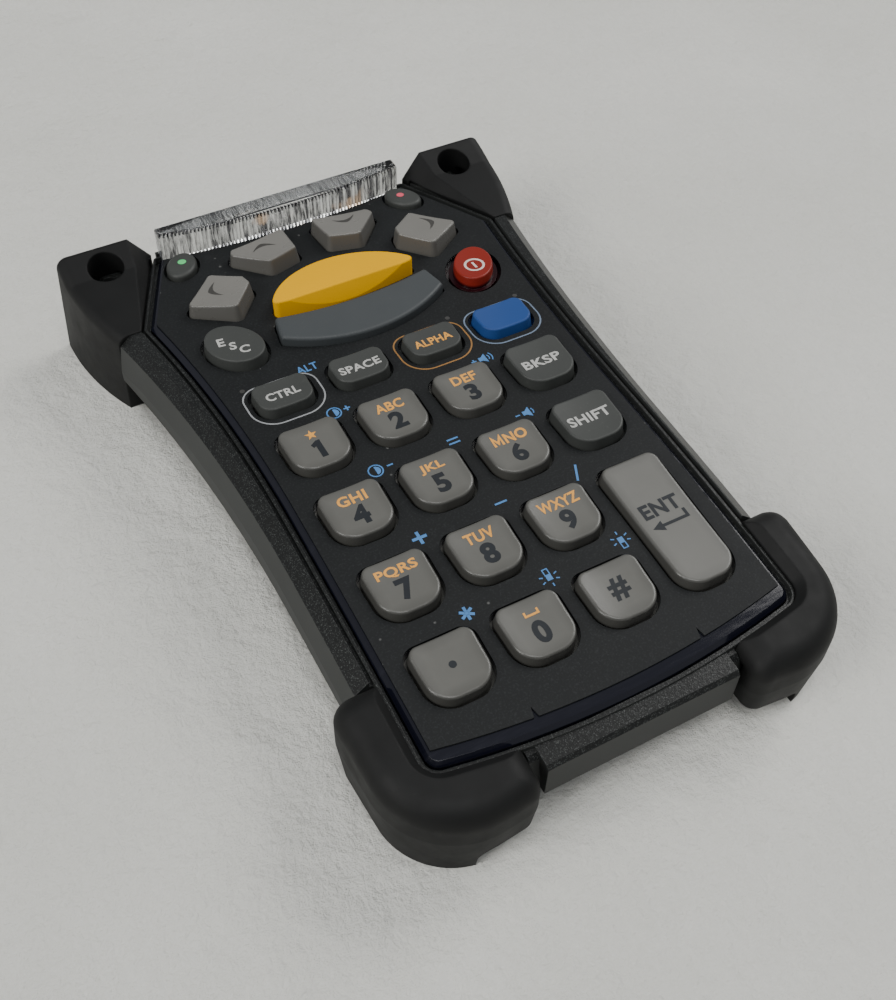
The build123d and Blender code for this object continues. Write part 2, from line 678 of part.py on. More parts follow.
def case_bar():
    """Bar across the front, between the lower rubber corners."""
    area = block_outline(-BAR_HALF_W, BAR_HALF_W, BAR_FRONT_Y, CASE_FOOT_Y + CASE_WALL)
    bar = under_face(area, BAR_DROP, UNDERSIDE)
    front_top = bar.faces().sort_by(Axis.Z)[-1].edges().sort_by(Axis.Y)[0]
    return chamfer(front_top, BAR_BEVEL)


def rim_edges(body):
    """Long edges down both sides of the case's top, and the top itself."""
    top = body.faces().sort_by(Axis.Z)[-1]
    sides = top.edges().filter_by(lambda edge: abs(edge.center().X) > PLATE_CORNER_X and edge.length > ROW)
    return sides, top


def case_body(plate, keys):
    """Moulded case: rim, groove and ledge for the plate, shoulders, gutter and screw bosses."""
    outline = case_outline()
    body = under_face(outline, RIM_DROP, UNDERSIDE)
    rim, top = rim_edges(body)
    body = chamfer(rim, WALL_LEAN, WALL_LEAN_H, reference=top)
    rim, top = rim_edges(body)
    body = chamfer(rim, RIM_BEVEL)
    body -= column(offset(plate, GROOVE_W), COVER_TOP, SPAN / 2) - under(RIM_DROP + GROOVE_DEPTH)
    ridge = offset(plate, RIDGE_GAP + RIDGE_W) - offset(plate, RIDGE_GAP)
    body += under_face(ridge, RIDGE_DROP, UNDERSIDE)
    body -= column(ear_area(RUBBER_FIT), SHOULDER_TOP, SPAN / 2)
    body -= column(bumper_area(plate, RUBBER_FIT), UNDERSIDE, SPAN / 2) - under(BUMPER_SKIN)
    body += case_bar()
    body -= column(offset(plate, PLATE_FIT), COVER_TOP, SPAN / 2) - under(LEDGE_DEPTH)
    cavity = offset(plate, -LEDGE_W) - circles(COVER_SCREWS, SCREW_BOSS_R)
    body -= column(cavity, COVER_TOP, SPAN / 2)
    body -= under_face(case_hollow(plate, outline), LEDGE_DEPTH + LEDGE_T, UNDERSIDE)
    body -= column(offset(cover_outline(outline), COVER_FIT), UNDERSIDE, COVER_TOP)
    body -= [column(Pos(key.x, key.y) * key.relief, COVER_TOP, SPAN / 2) for key in keys]
    tab = block_outline(-TAB_HALF_W, TAB_HALF_W, PLATE_KINK_Y, TAB_BACK_Y)
    body -= column(offset(tab, BOARD_FIT), COVER_TOP, LENS_BOTTOM)
    body -= column(offset(lens_outline(), LENS_FIT), LENS_BOTTOM, SPAN / 2)
    body -= column(circles(EAR_SCREWS, BOSS_HOLE_R), UNDERSIDE, SHOULDER_TOP)
    thread_top = UNDERSIDE + COVER_SCREW_HEAD_T + COVER_SCREW_L + SCREW_FIT
    return body - column(circles(COVER_SCREWS, COVER_SCREW_R + SCREW_FIT), UNDERSIDE, thread_top)


def cover_outline(outline):
    """Back cover, inside the case wall and around the ear bosses."""
    return offset(outline, -CASE_WALL) - circles(EAR_SCREWS, EAR_BOSS_R)


def back_cover():
    """Flat cover with pads for the board, screw holes and a window for the connector."""
    cover = column(cover_outline(case_outline()), UNDERSIDE, COVER_TOP)
    cover += column(circles(BOARD_SCREWS, PAD_R), COVER_TOP - COVER_T / 2, BOARD_BOTTOM)
    screw_tip = BOARD_TOP - BOARD_SCREW_L - SCREW_FIT
    cover -= column(circles(BOARD_SCREWS, BOARD_SCREW_R + SCREW_FIT), screw_tip, BOARD_BOTTOM)
    head_top = UNDERSIDE + COVER_SCREW_HEAD_T + SCREW_FIT
    cover -= column(circles(COVER_SCREWS, COVER_SCREW_HEAD_R + SCREW_FIT), UNDERSIDE, head_top)
    cover -= column(circles(COVER_SCREWS, COVER_SCREW_R + SCREW_FIT), UNDERSIDE, COVER_TOP)
    return cover - column(offset(connector_outline(), CONNECTOR_FIT), UNDERSIDE, COVER_TOP)


# ---- rubber corners --------------------------------------------------------------------------
def ear_outline(level):
    """Ear in plan, at its top (0) or on the floor (1): straight inside, one arc outside."""
    inner_front = (diagonal_x(EAR_FRONT_Y, EAR_INNER_GAP), EAR_FRONT_Y)
    inner_back = (diagonal_x(EAR_BACK_Y, EAR_INNER_GAP), EAR_BACK_Y)
    front = (EAR_FRONT_X[level], EAR_FRONT_Y)
    side = (EAR_SIDE_X[level], EAR_SIDE_Y)
    tip = (EAR_TIP_X[level], EAR_BACK_Y)
    edges = [
        Line(inner_front, front),
        ThreePointArc(front, side, tip),
        Line(tip, inner_back),
        Line(inner_back, inner_front),
    ]
    return outline_face(edges)


def ear_roof():
    """Everything above the ear: low in front, a dip at the screw hole, high at the back."""
    points = [
        (0, EAR_FRONT_Z),
        (EAR_FRONT_Y, EAR_FRONT_Z),
        (EAR_HOLE_Y - EAR_HOLE_R / 2, EAR_HOLE_Z - EAR_VALLEY),
        (EAR_BACK_Y, EAR_TIP_Z),
        (SPAN / 2, EAR_TIP_Z),
        (SPAN / 2, SPAN / 2),
        (0, SPAN / 2),
    ]
    side = Plane.YZ * Polygon(*points, align=None)
    return Pos(-SPAN / 2, 0, 0) * extrude(side, amount=SPAN)


def ear_slope():
    """Everything above the slope that leads from the ear down to the plate's diagonal edge."""
    front = Vector(diagonal_x(EAR_FRONT_Y, EAR_INNER_GAP), EAR_FRONT_Y, face_z(EAR_FRONT_Y))
    back = Vector(diagonal_x(EAR_BACK_Y, EAR_INNER_GAP), EAR_BACK_Y, face_z(EAR_BACK_Y))
    along = back - front
    rise = Vector(along.Y, -along.X, 0).normalized() + Vector(0, 0, EAR_INNER_SLOPE)
    slope_plane = Plane(origin=front, x_dir=along, z_dir=rise.cross(along))
    return slope_plane * Pos(0, 0, SPAN / 4) * Box(SPAN, SPAN, SPAN / 2)


def ear(outline):
    """Right rubber ear: it wraps the shoulder and stands on the floor."""
    top = Pos(0, 0, EAR_TIP_Z + EAR_ROLL_R) * ear_outline(0)
    block = loft([ear_outline(1).face(), top.face()], ruled=True) - ear_roof()
    crown = block.faces().filter_by(lambda face: face.normal_at().Z > EAR_CROWN_UP).edges()
    outer = crown.filter_by(lambda edge: edge.center().X > EAR_HOLE_X + EAR_HOLE_R)
    block = fillet(outer, EAR_ROLL_R) - ear_slope()
    core = column(offset(outline, RUBBER_FIT), UNDERSIDE - RUBBER_FIT, SHOULDER_TOP + RUBBER_FIT)
    return block - core - column(circles([EAR_SCREWS[0]], EAR_HOLE_R), 0, SPAN / 2)


def bumper_plan():
    """Right bumper in plan, its outer corner well rounded."""
    corners = [
        (BUMPER_SIDE_X, BUMPER_START_Y, BUMPER_START_R),
        (BUMPER_CORNER_X, BUMPER_CORNER_Y, BUMPER_CORNER_R),
        (BUMPER_WING_X, BUMPER_WING_Y, BUMPER_WING_R),
    ]
    inner = [(BUMPER_WING_X, PLATE_CORNER_Y), (PLATE_CORNER_X, BUMPER_START_Y)]
    plan = Polygon(*[(x, y) for x, y, radius in corners], *inner, align=None)
    for x, y, radius in corners:
        plan = fillet(plan.vertices().sort_by_distance((x, y))[0], radius)
    return plan


def bumper_slope(plate):
    """Room beside the plate that widens upwards, for the inner slope of the bumpers."""
    middle_y = (BUMPER_START_Y + PLATE_CORNER_Y) / 2
    room = offset(plate, BUMPER_INNER_GAP)
    room = extrude(room, amount=2 * BUMPER_INNER_BEVEL, dir=(0, 0, 1), taper=-BUMPER_INNER_DEG)
    room = Rot(-face_tilt(middle_y), 0, 0) * Pos(0, -middle_y, 0) * room
    return Pos(0, middle_y, face_z(middle_y) + BUMPER_PROUD - BUMPER_INNER_BEVEL) * room


def bumper(plate, outline):
    """Right lower rubber corner: it wraps the case corner, with a wing in front and a foot."""
    plan = bumper_plan()
    block = under_face(plan, -BUMPER_PROUD, BUMPER_WAIST_Z)
    block = fillet(top_edges(block), BUMPER_ROLL_R)
    lower = extrude(plan, amount=BUMPER_WAIST_Z, dir=(0, 0, -1), taper=BUMPER_TAPER)
    block += Pos(0, 0, BUMPER_WAIST_Z) * lower
    block -= under_face(offset(outline, RUBBER_FIT), BUMPER_SKIN - RUBBER_FIT, UNDERSIDE - RUBBER_FIT)
    block -= column(offset(plate, BUMPER_INNER_GAP), UNDERSIDE - RUBBER_FIT, SPAN / 2)
    block -= bumper_slope(plate)
    arch = Polygon((0, 0), (FOOT_INNER_X, 0), (FOOT_INNER_X, WING_HEIGHT), (0, WING_HEIGHT), align=None)
    arch = fillet(arch.vertices().sort_by_distance((FOOT_INNER_X, WING_HEIGHT))[0], FOOT_ARCH_R)
    block -= extrude(Plane.XZ * arch, amount=SPAN, both=True)
    pocket = block_outline(0, BUMPER_CORNER_X - FOOT_WALL, BUMPER_CORNER_Y + FOOT_WALL, 0)
    return block - column(pocket, 0, UNDERSIDE)


# ---- plate, layer, seal and lens -------------------------------------------------------------
def key_openings(keys):
    """All key holes in one plan area."""
    return Sketch() + [Pos(key.x, key.y) * key.hole for key in keys]


def face_plate(plate, keys):
    """Glossy plate with a bevelled rim and the key holes."""
    sheet = face_layer(plate, OVERLAY_T, PLATE_T)
    sheet = chamfer(top_edges(sheet), PLATE_BEVEL)
    return sheet - column(key_openings(keys), 0, SPAN / 2)


def face_overlay(plate, keys):
    """Thin matte layer on the plate."""
    return face_layer(overlay_outline(plate) - key_openings(keys), 0, OVERLAY_T)


def seal_gasket(plate, keys):
    """Foam ring between the plate and the ledge."""
    ring = plate - offset(plate, -LEDGE_W)
    ring -= [Pos(key.x, key.y) * key.relief for key in keys]
    return face_layer(ring, PLATE_UNDER, GASKET_T)


def light_lens():
    """Clear bar at the top of the unit."""
    bar = column(lens_outline(), LENS_BOTTOM, LENS_TOP)
    return fillet(top_edges(bar), LENS_EDGE_R)


# ---- electronics -----------------------------------------------------------------------------
def board_outline(plate):
    """Board inside the ledge, with a tab that reaches under the lens."""
    tab = block_outline(-TAB_HALF_W, TAB_HALF_W, PLATE_KINK_Y, TAB_BACK_Y)
    board = offset(plate, -LEDGE_W - BOARD_FIT) + tab
    return board - circles(COVER_SCREWS, SCREW_BOSS_R + BOARD_FIT)


def circuit_board(plate):
    """Flat board with its screw holes."""
    board = column(board_outline(plate), BOARD_BOTTOM, BOARD_TOP)
    return board - column(circles(BOARD_SCREWS, BOARD_SCREW_R + SCREW_FIT), BOARD_BOTTOM, BOARD_TOP)


def keymat(plate, keys):
    """Silicone sheet on the board with an opening at each dome, light, screw and the chip."""
    sheet = offset(plate, -LEDGE_W - 2 * BOARD_FIT) - circles(COVER_SCREWS, SCREW_BOSS_R + 2 * BOARD_FIT)
    sheet -= circles([(key.x, key.y) for key in keys], DOME_OPENING_R)
    sheet -= circles(BOARD_SCREWS, BOARD_SCREW_HEAD_R + BOARD_FIT)
    sheet -= Sketch() + [Pos(x, y) * Rectangle(LED_L + BOARD_FIT, LED_W + BOARD_FIT) for x, y in KEY_LIGHTS]
    sheet -= Pos(0, CHIP_Y) * Rectangle(CHIP_SIZE + BOARD_FIT, CHIP_SIZE + BOARD_FIT)
    return column(sheet, BOARD_TOP, KEYMAT_TOP)


def snap_domes(keys):
    """A metal dome under each key."""
    dome = Cone(DOME_R, DOME_R - 2 * DOME_RISE, DOME_RISE)
    return Compound(children=[Pos(key.x, key.y, BOARD_TOP + DOME_RISE / 2) * dome for key in keys])


def lights(points):
    """A small light on the board at each point."""
    light = Box(LED_L, LED_W, LED_H)
    return Compound(children=[Pos(x, y, BOARD_TOP + LED_H / 2) * light for x, y in points])


def connector_outline():
    """Board connector in plan."""
    return Pos(0, CONNECTOR_Y) * Rectangle(CONNECTOR_L, CONNECTOR_W)


def board_connector():
    """Socket under the board, flush with the back cover."""
    shell = column(connector_outline(), UNDERSIDE, BOARD_BOTTOM)
    slot = column(offset(connector_outline(), -CONNECTOR_WALL), UNDERSIDE, BOARD_BOTTOM - CONNECTOR_WALL)
    return shell - slot


def control_chip():
    """Chip that reads the keys."""
    return Pos(0, CHIP_Y, BOARD_TOP + CHIP_T / 2) * Box(CHIP_SIZE, CHIP_SIZE, CHIP_T)


def screw(head_r, head_t, shank_r, length):
    """Screw with its head on z = 0 and above, shank down, a slot across the head."""
    head = Pos(0, 0, head_t / 2) * Cylinder(head_r, head_t)
    shank = Pos(0, 0, -length / 2) * Cylinder(shank_r, length)
    slot = Pos(0, 0, head_t) * Box(2 * head_r, SCREW_SLOT_W, head_t)
    return head + shank - slot


def board_screws():
    """Screws that hold the board to the cover."""
    body = screw(BOARD_SCREW_HEAD_R, BOARD_SCREW_HEAD_T, BOARD_SCREW_R, BOARD_SCREW_L)
    return Compound(children=[Pos(x, y, BOARD_TOP) * body for x, y in BOARD_SCREWS])


def cover_screws():
    """Screws that hold the cover to the case, from below."""
    body = Rot(180, 0, 0) * screw(COVER_SCREW_HEAD_R, COVER_SCREW_HEAD_T, COVER_SCREW_R, COVER_SCREW_L)
    seat = UNDERSIDE + COVER_SCREW_HEAD_T
    return Compound(children=[Pos(x, y, seat) * body for x, y in COVER_SCREWS])


# ---- places that repeat ----------------------------------------------------------------------
EAR_SCREWS = both([(EAR_HOLE_X, EAR_HOLE_Y)])
COVER_SCREWS = both([(boss_x(y), y) for y in COVER_SCREW_Y])
BOARD_SCREWS = both([(BOARD_SCREW_X, y) for y in BOARD_SCREW_Y])
KEY_LIGHTS = [(COLUMN * i, ROW_1_Y + ROW / 2 - ROW * j) for i in (-1, 0, 1) for j in range(4)]
LAMPS = [(LAMP_PITCH * (i - (LAMP_COUNT - 1) / 2), LAMP_Y) for i in range(LAMP_COUNT)]


# ---- build and write -------------------------------------------------------------------------
def main():
    """Build every piece and write one file for each."""
    plate = plate_outline()
    outline = case_outline()
    keys = pad_keys() + function_keys() + oval_keys() + arrow_keys() + large_keys()
    right_ear = ear(outline)
    right_bumper = bumper(plate, outline)
    parts = {
        "case_body": case_body(plate, keys),
        "back_cover": back_cover(),
        "face_plate": face_plate(plate, keys),
        "face_overlay": face_overlay(plate, keys),
        "seal_gasket": seal_gasket(plate, keys),
        "light_lens": light_lens(),
        "keymat": keymat(plate, keys),
        "circuit_board": circuit_board(plate),
        "snap_domes": snap_domes(keys),
        "key_lights": lights(KEY_LIGHTS),
        "lens_lamps": lights(LAMPS),
        "control_chip": control_chip(),
        "board_connector": board_connector(),
        "board_screws": board_screws(),
        "cover_screws": cover_screws(),
        "ear_right": right_ear,
        "ear_left": mirror(right_ear, about=Plane.YZ),
        "bumper_right": right_bumper,
        "bumper_left": mirror(right_bumper, about=Plane.YZ),
    }
    for key in keys:
        parts[key.name] = key_solid(key)
    for name, shape in parts.items():
        export_step(Pos(0, -MIDDLE_Y, 0) * shape, f"parts/{name}.step")


main()
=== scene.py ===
import json
import math

import bmesh
import bpy
from mathutils import Matrix, Vector
from mathutils.bvhtree import BVHTree


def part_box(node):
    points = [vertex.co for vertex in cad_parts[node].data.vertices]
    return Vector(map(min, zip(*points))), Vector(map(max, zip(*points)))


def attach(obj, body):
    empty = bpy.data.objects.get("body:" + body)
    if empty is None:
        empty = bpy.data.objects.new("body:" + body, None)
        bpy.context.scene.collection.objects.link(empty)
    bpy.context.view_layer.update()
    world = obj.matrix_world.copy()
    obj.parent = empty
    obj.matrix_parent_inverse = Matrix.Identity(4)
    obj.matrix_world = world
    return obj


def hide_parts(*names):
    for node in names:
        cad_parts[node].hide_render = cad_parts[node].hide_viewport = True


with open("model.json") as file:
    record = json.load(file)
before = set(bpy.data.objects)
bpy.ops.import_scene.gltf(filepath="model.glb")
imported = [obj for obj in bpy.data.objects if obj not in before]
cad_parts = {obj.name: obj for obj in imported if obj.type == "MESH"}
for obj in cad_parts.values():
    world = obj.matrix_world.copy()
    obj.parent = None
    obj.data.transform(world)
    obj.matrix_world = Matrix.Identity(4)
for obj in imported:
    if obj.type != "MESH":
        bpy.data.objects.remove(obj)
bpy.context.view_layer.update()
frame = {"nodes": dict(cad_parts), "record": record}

NODES = frame["nodes"]
SLOTS = {entry["node"]: entry["material_slot"] for entry in frame["record"]["subparts"]}
MM = 0.001

LIFT = 0.03 * MM              # printed legends lie this much over their surface
PRINT_STEP = 0.9 * MM         # their edges are halved where longer than this, twice at most
RAY_START = 0.06              # height in metres, above the whole unit
RAY_STEP = 1e-5

LENS_BOW = 2.35 * MM          # the front of the clear bar bows out by this much towards its middle
RIB_PITCH = 0.68 * MM
RIB_DEPTH = 0.30 * MM
RIB_STEPS = 8                 # points along one rib
LENS_FOOT = 0.2 * MM          # the ribbed bar starts this far over the foot of the plain solid
LENS_ROUND = ((0.55 * MM, 0.0), (0.12 * MM, 0.25 * MM), (0.0, 0.6 * MM))    # below its top, drawn in
LENS_BACK_SHARE = 0.6         # its back and its ends are drawn in by this share of that
REFLECTOR_RISE = 0.09 * MM    # the sheet under the bar lies this far over the solid's foot
REFLECTOR_PLEAT = 0.06 * MM   # and every other fold this much higher
REFLECTOR_FOLDS = 160
REFLECTOR_MARGIN = 0.5 * MM

CAP_HALF_W = 5.3 * MM         # a milky cap's painted shade is darkest this far from its middle, across
CAP_HALF_H = 5.35 * MM        # half the length of a digit key's cap
CAP_RIM_GAP = 0.3 * MM        # along, the painted shade is darkest this far inside its end
CAP_RIM = 2.3 * MM            # width of the rim drawn darker as painted shade
KEY_FLANGE = 0.55 * MM        # a key's box reaches this far beyond its hole, under the plate

# legends, in millimetres
DIGIT_HEIGHT = 3.65
DIGIT_BOLD = 0.045
DIGIT_UP = -0.95              # from the middle of a key to the middle of its digit
LETTERS_HEIGHT = 1.85
LETTERS_UP = 2.2
LETTERS_BOLD = 0.03
SIGN_BOLD = 0.035
SIGN_STROKE = 0.32
ICON_STROKE = 0.2
RING_HALF_W, RING_HALF_H = 6.2, 4.6
RING_TOP_R, RING_FOOT_R = 2.8, 4.2
RING_STROKE = 0.26

# studio, in metres
FLOOR_HALF = 3
CAMERA_PLACE = (-0.06416, -0.11598, 0.15379)
CAMERA_TURN = (40.04, -1.18, -28.57)    # degrees
CAMERA_LENS = 43.75           # in millimetres, as the sensor's height is
SENSOR_HEIGHT = 36.0
CAMERA_NEAR = 0.01
WORLD_COLOUR = (0.93, 0.95, 1.0, 1)
WORLD_STRENGTH = 0.30


# ---- node helpers ----------------------------------------------------------------------------
class Shader:
    """A material and short ways to add nodes to it."""

    def __init__(self, name, colour, rough, metallic=0.0):
        self.material = bpy.data.materials.new(name)
        self.material.use_nodes = True
        self.tree = self.material.node_tree
        self.bsdf = self.tree.nodes["Principled BSDF"]
        self.bsdf.inputs["Base Color"].default_value = (*colour, 1.0)
        self.bsdf.inputs["Roughness"].default_value = rough
        self.bsdf.inputs["Metallic"].default_value = metallic
        self.place = self.add("ShaderNodeTexCoord").outputs["Object"]

    def add(self, kind, **settings):
        node = self.tree.nodes.new(kind)
        for key, value in settings.items():
            setattr(node, key, value)
        return node

    def join(self, source, target):
        self.tree.links.new(source, target)
        return target

    def value(self, name, number):
        self.bsdf.inputs[name].default_value = number

    def noise(self, scale, detail=2.0, roughness=0.5, stretch=None):
        node = self.add("ShaderNodeTexNoise")
        node.inputs["Scale"].default_value = scale
        node.inputs["Detail"].default_value = detail
        node.inputs["Roughness"].default_value = roughness
        where = self.place
        if stretch:
            mapping = self.add("ShaderNodeMapping")
            mapping.inputs["Scale"].default_value = stretch
            self.join(where, mapping.inputs["Vector"])
            where = mapping.outputs["Vector"]
        self.join(where, node.inputs["Vector"])
        return node.outputs["Fac"]

    def cells(self, scale):
        node = self.add("ShaderNodeTexVoronoi", feature="F1")
        node.inputs["Scale"].default_value = scale
        self.join(self.place, node.inputs["Vector"])
        return node.outputs["Distance"]

    def along(self, axis):
        """One coordinate of the place on the object, in metres."""
        split = self.add("ShaderNodeSeparateXYZ")
        self.join(self.place, split.inputs[0])
        return split.outputs[axis]

    def fit(self, source, low, high, to_low=0.0, to_high=1.0):
        """Maps low to high onto to_low to to_high, held at both ends."""
        node = self.add("ShaderNodeMapRange")
        limits = {"From Min": low, "From Max": high, "To Min": to_low, "To Max": to_high}
        for name, number in limits.items():
            node.inputs[name].default_value = number
        self.join(source, node.inputs["Value"])
        return node.outputs["Result"]

    def math(self, operation, a, b=None):
        node = self.add("ShaderNodeMath", operation=operation)
        for slot, source in zip(node.inputs, (a, b)):
            if source is None:
                continue
            if isinstance(source, (int, float)):
                slot.default_value = source
            else:
                self.join(source, slot)
        return node.outputs[0]

    def mix(self, factor, a, b):
        node = self.add("ShaderNodeMix", data_type="RGBA")
        self.join(factor, node.inputs["Factor"])
        for slot, source in ((node.inputs[6], a), (node.inputs[7], b)):
            if isinstance(source, tuple):
                slot.default_value = (*source, 1.0)
            else:
                self.join(source, slot)
        return node.outputs[2]

    def facing_up(self, low, high):
        geometry = self.add("ShaderNodeNewGeometry")
        split = self.add("ShaderNodeSeparateXYZ")
        self.join(geometry.outputs["Normal"], split.inputs[0])
        return self.fit(split.outputs["Z"], low, high)

    def edges(self, radius, reach):
        """1 on convex and concave edges of the solid, 0 away from them."""
        soft = self.add("ShaderNodeBevel", samples=4)
        soft.inputs["Radius"].default_value = radius
        geometry = self.add("ShaderNodeNewGeometry")
        dot = self.add("ShaderNodeVectorMath", operation="DOT_PRODUCT")
        self.join(soft.outputs[0], dot.inputs[0])
        self.join(geometry.outputs["Normal"], dot.inputs[1])
        return self.fit(dot.outputs["Value"], 1.0, 1.0 - reach)

    def relief(self, height, depth, soften=0.0):
        """Bump of a depth in metres, on normals rounded over the solid's edges."""
        node = self.add("ShaderNodeBump")
        node.inputs["Strength"].default_value = 1.0
        node.inputs["Distance"].default_value = depth
        self.join(height, node.inputs["Height"])
        if soften:
            bevel = self.add("ShaderNodeBevel", samples=4)
            bevel.inputs["Radius"].default_value = soften
            self.join(bevel.outputs[0], node.inputs["Normal"])
        self.join(node.outputs[0], self.bsdf.inputs["Normal"])

    def colour(self, source):
        self.join(source, self.bsdf.inputs["Base Color"])

    def roughness(self, source):
        self.join(source, self.bsdf.inputs["Roughness"])


def shade(colour, factor):
    return tuple(min(1.0, c * factor) for c in colour)


def moulded(name, colour, rough, grain=0.012, grain_scale=2600, mottle=0.06, wear=0.25, soften=0.15,
            speck=0.0, shine=0.5):
    """Moulded plastic or rubber: cloudy colour, a fine grain, lighter worn edges."""
    s = Shader(name, colour, rough)
    cloud = s.noise(95, 4.0, 0.6)
    base = s.mix(s.fit(cloud, 0.3, 0.7), shade(colour, 1 - mottle), shade(colour, 1 + mottle))
    fine = s.noise(grain_scale, 2.0, 0.6)
    if speck:
        base = s.mix(s.fit(fine, 0.62, 0.75, 0.0, speck), base, shade(colour, 1.9))
    if wear:
        edge = s.edges(0.35 * MM, 0.25)
        worn = s.math("MULTIPLY", edge, s.fit(s.noise(420, 3.0, 0.7), 0.3, 0.65, 0.15, wear))
        base = s.mix(worn, base, shade(colour, 2.2))
    s.colour(base)
    s.roughness(s.fit(s.noise(240, 3.0, 0.6), 0.25, 0.75, max(0.05, rough - 0.07), rough + 0.07))
    s.value("Specular IOR Level", shine)
    s.relief(fine, grain * MM, soften * MM)
    return s.material


# ---- materials -------------------------------------------------------------------------------
def case_material():
    """Dark case: fine texture with painted glints where it faces up, drawn darker there as painted shade,
    and smooth matte sides.
    """
    colour = (0.026, 0.028, 0.027)
    s = Shader("case_plastic", colour, 0.5)
    s.value("Specular IOR Level", 0.3)
    up = s.facing_up(0.3, 0.65)
    cloud = s.noise(80, 4.0, 0.6)
    base = s.mix(s.fit(cloud, 0.3, 0.7), shade(colour, 0.9), shade(colour, 1.12))
    # painted shade: surfaces that face up are drawn darker than the sides
    base = s.mix(up, base, shade(colour, 0.3))
    # painted glints: tiny light dots on the faces that face up
    glint_dots = s.fit(s.cells(4600), 0.45, 0.15)
    painted_glint = s.math("MULTIPLY", glint_dots, s.fit(s.noise(2200, 2.0, 0.6), 0.36, 0.62))
    base = s.mix(s.math("MULTIPLY", up, painted_glint), base, shade(colour, 3.2))
    base = s.mix(s.math("MULTIPLY", s.edges(0.3 * MM, 0.25), 0.2), base, shade(colour, 2.0))
    s.colour(base)
    s.roughness(s.fit(up, 0.0, 1.0, 0.55, 0.34))
    rough_top = s.math("MULTIPLY", s.noise(2600, 2.0, 0.6), up)
    fine = s.math("MULTIPLY", s.noise(3600, 2.0, 0.6), 0.5)
    s.relief(s.math("ADD", s.math("MULTIPLY", rough_top, 4.0), fine), 0.010 * MM, 0.15 * MM)
    return s.material


def plate_material():
    """Glossy near-black plate with a blue cast and faint scuffs."""
    colour = (0.0040, 0.0045, 0.0095)
    s = Shader("plate_gloss", colour, 0.12)
    scuff = s.noise(60, 6.0, 0.75, stretch=(1.0, 9.0, 1.0))
    s.colour(s.mix(s.fit(scuff, 0.55, 0.75, 0.0, 0.5), colour, (0.012, 0.013, 0.022)))
    s.roughness(s.fit(scuff, 0.4, 0.8, 0.07, 0.3))
    s.value("Coat Weight", 0.25)
    s.value("Coat Roughness", 0.05)
    s.relief(s.noise(900, 2.0, 0.5), 0.002 * MM, 0.12 * MM)
    return s.material


def overlay_material():
    """Matte printed layer with a fine tooth and a little dust."""
    colour = (0.0095, 0.0105, 0.0110)
    s = Shader("overlay_matte", colour, 0.6)
    s.value("Specular IOR Level", 0.2)
    cloud = s.noise(45, 5.0, 0.65)
    base = s.mix(s.fit(cloud, 0.3, 0.7), shade(colour, 0.88), shade(colour, 1.15))
    rare = s.math("GREATER_THAN", s.noise(140, 1.0, 0.5), 0.6)
    speck = s.math("MULTIPLY", s.fit(s.cells(330), 0.10, 0.05), rare)
    base = s.mix(s.math("MULTIPLY", speck, 0.35), base, (0.30, 0.30, 0.29))
    tooth = s.fit(s.noise(3300, 2.0, 0.6), 0.52, 0.70, 0.0, 0.6)
    base = s.mix(tooth, base, shade(colour, 2.4))
    s.colour(base)
    s.roughness(s.fit(cloud, 0.3, 0.7, 0.5, 0.66))
    s.relief(s.noise(3000, 2.0, 0.6), 0.010 * MM, 0.05 * MM)
    return s.material


def lens_material():
    """Clear plastic; its ribbed front is smoky, streaked and warm in a few spots."""
    s = Shader("lens_clear", (0.9, 0.9, 0.9), 0.04)
    low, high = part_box("light_lens")
    bow = s.math("MULTIPLY", s.math("POWER", s.along("X"), 2.0), LENS_BOW / high.x ** 2)
    depth = s.math("SUBTRACT", s.along("Y"), bow)
    front = s.fit(depth, low.y + 0.5 * MM, low.y + 0.9 * MM, 1.0, 0.0)
    streak = s.noise(1100, 3.0, 0.7, stretch=(1.0, 0.1, 0.12))
    smoky = s.mix(s.fit(streak, 0.44, 0.62), (0.025, 0.025, 0.028), (0.66, 0.67, 0.67))
    spots = s.fit(s.noise(170, 1.0, 0.5), 0.60, 0.72, 0.0, 0.6)
    smoky = s.mix(spots, smoky, (0.60, 0.33, 0.17))
    s.colour(s.mix(front, (0.95, 0.955, 0.95), smoky))
    s.value("Transmission Weight", 1.0)
    s.value("IOR", 1.49)
    s.roughness(s.fit(s.noise(300, 5.0, 0.7), 0.45, 0.8, 0.02, 0.16))
    return s.material


def reflector_material():
    """Silvery reflector under the lens: upright streaks and a few amber spots."""
    pale = (0.62, 0.63, 0.62)
    s = Shader("lens_reflector", pale, 0.25)
    streak = s.noise(1300, 3.0, 0.7, stretch=(1.0, 0.06, 0.06))
    base = s.mix(s.fit(streak, 0.34, 0.56), (0.10, 0.10, 0.10), pale)
    base = s.mix(s.fit(s.cells(95), 0.22, 0.10, 0.0, 0.6), base, (0.42, 0.19, 0.07))
    s.colour(base)
    s.value("Metallic", 0.35)
    s.relief(streak, 0.05 * MM)
    return s.material


def key_material(name, colour, rough, **more):
    """Smooth key plastic."""
    return moulded(name, colour, rough, grain=0.004, grain_scale=1800, mottle=0.03, wear=0.12,
                   soften=0.18, **more)


def key_box(node):
    """Middle of a key in plan and half its length, in metres."""
    low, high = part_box(node)
    return (low.x + high.x) / 2, (low.y + high.y) / 2, (high.y - low.y) / 2


def pad_caps():
    """Grid that the digit keys lie on: x, pitch, y, pitch, half length of a cap."""
    x, y, _ = key_box("key_5")
    return x, key_box("key_6")[0] - x, y, key_box("key_2")[1] - y, CAP_HALF_H


def enter_caps():
    """The same for the enter key, which stands alone: its pitches are longer than the key."""
    x, y, half = key_box("key_enter")
    pitch_x, pitch_y = 20 * MM, 40 * MM
    return x, pitch_x, y, pitch_y, half - KEY_FLANGE


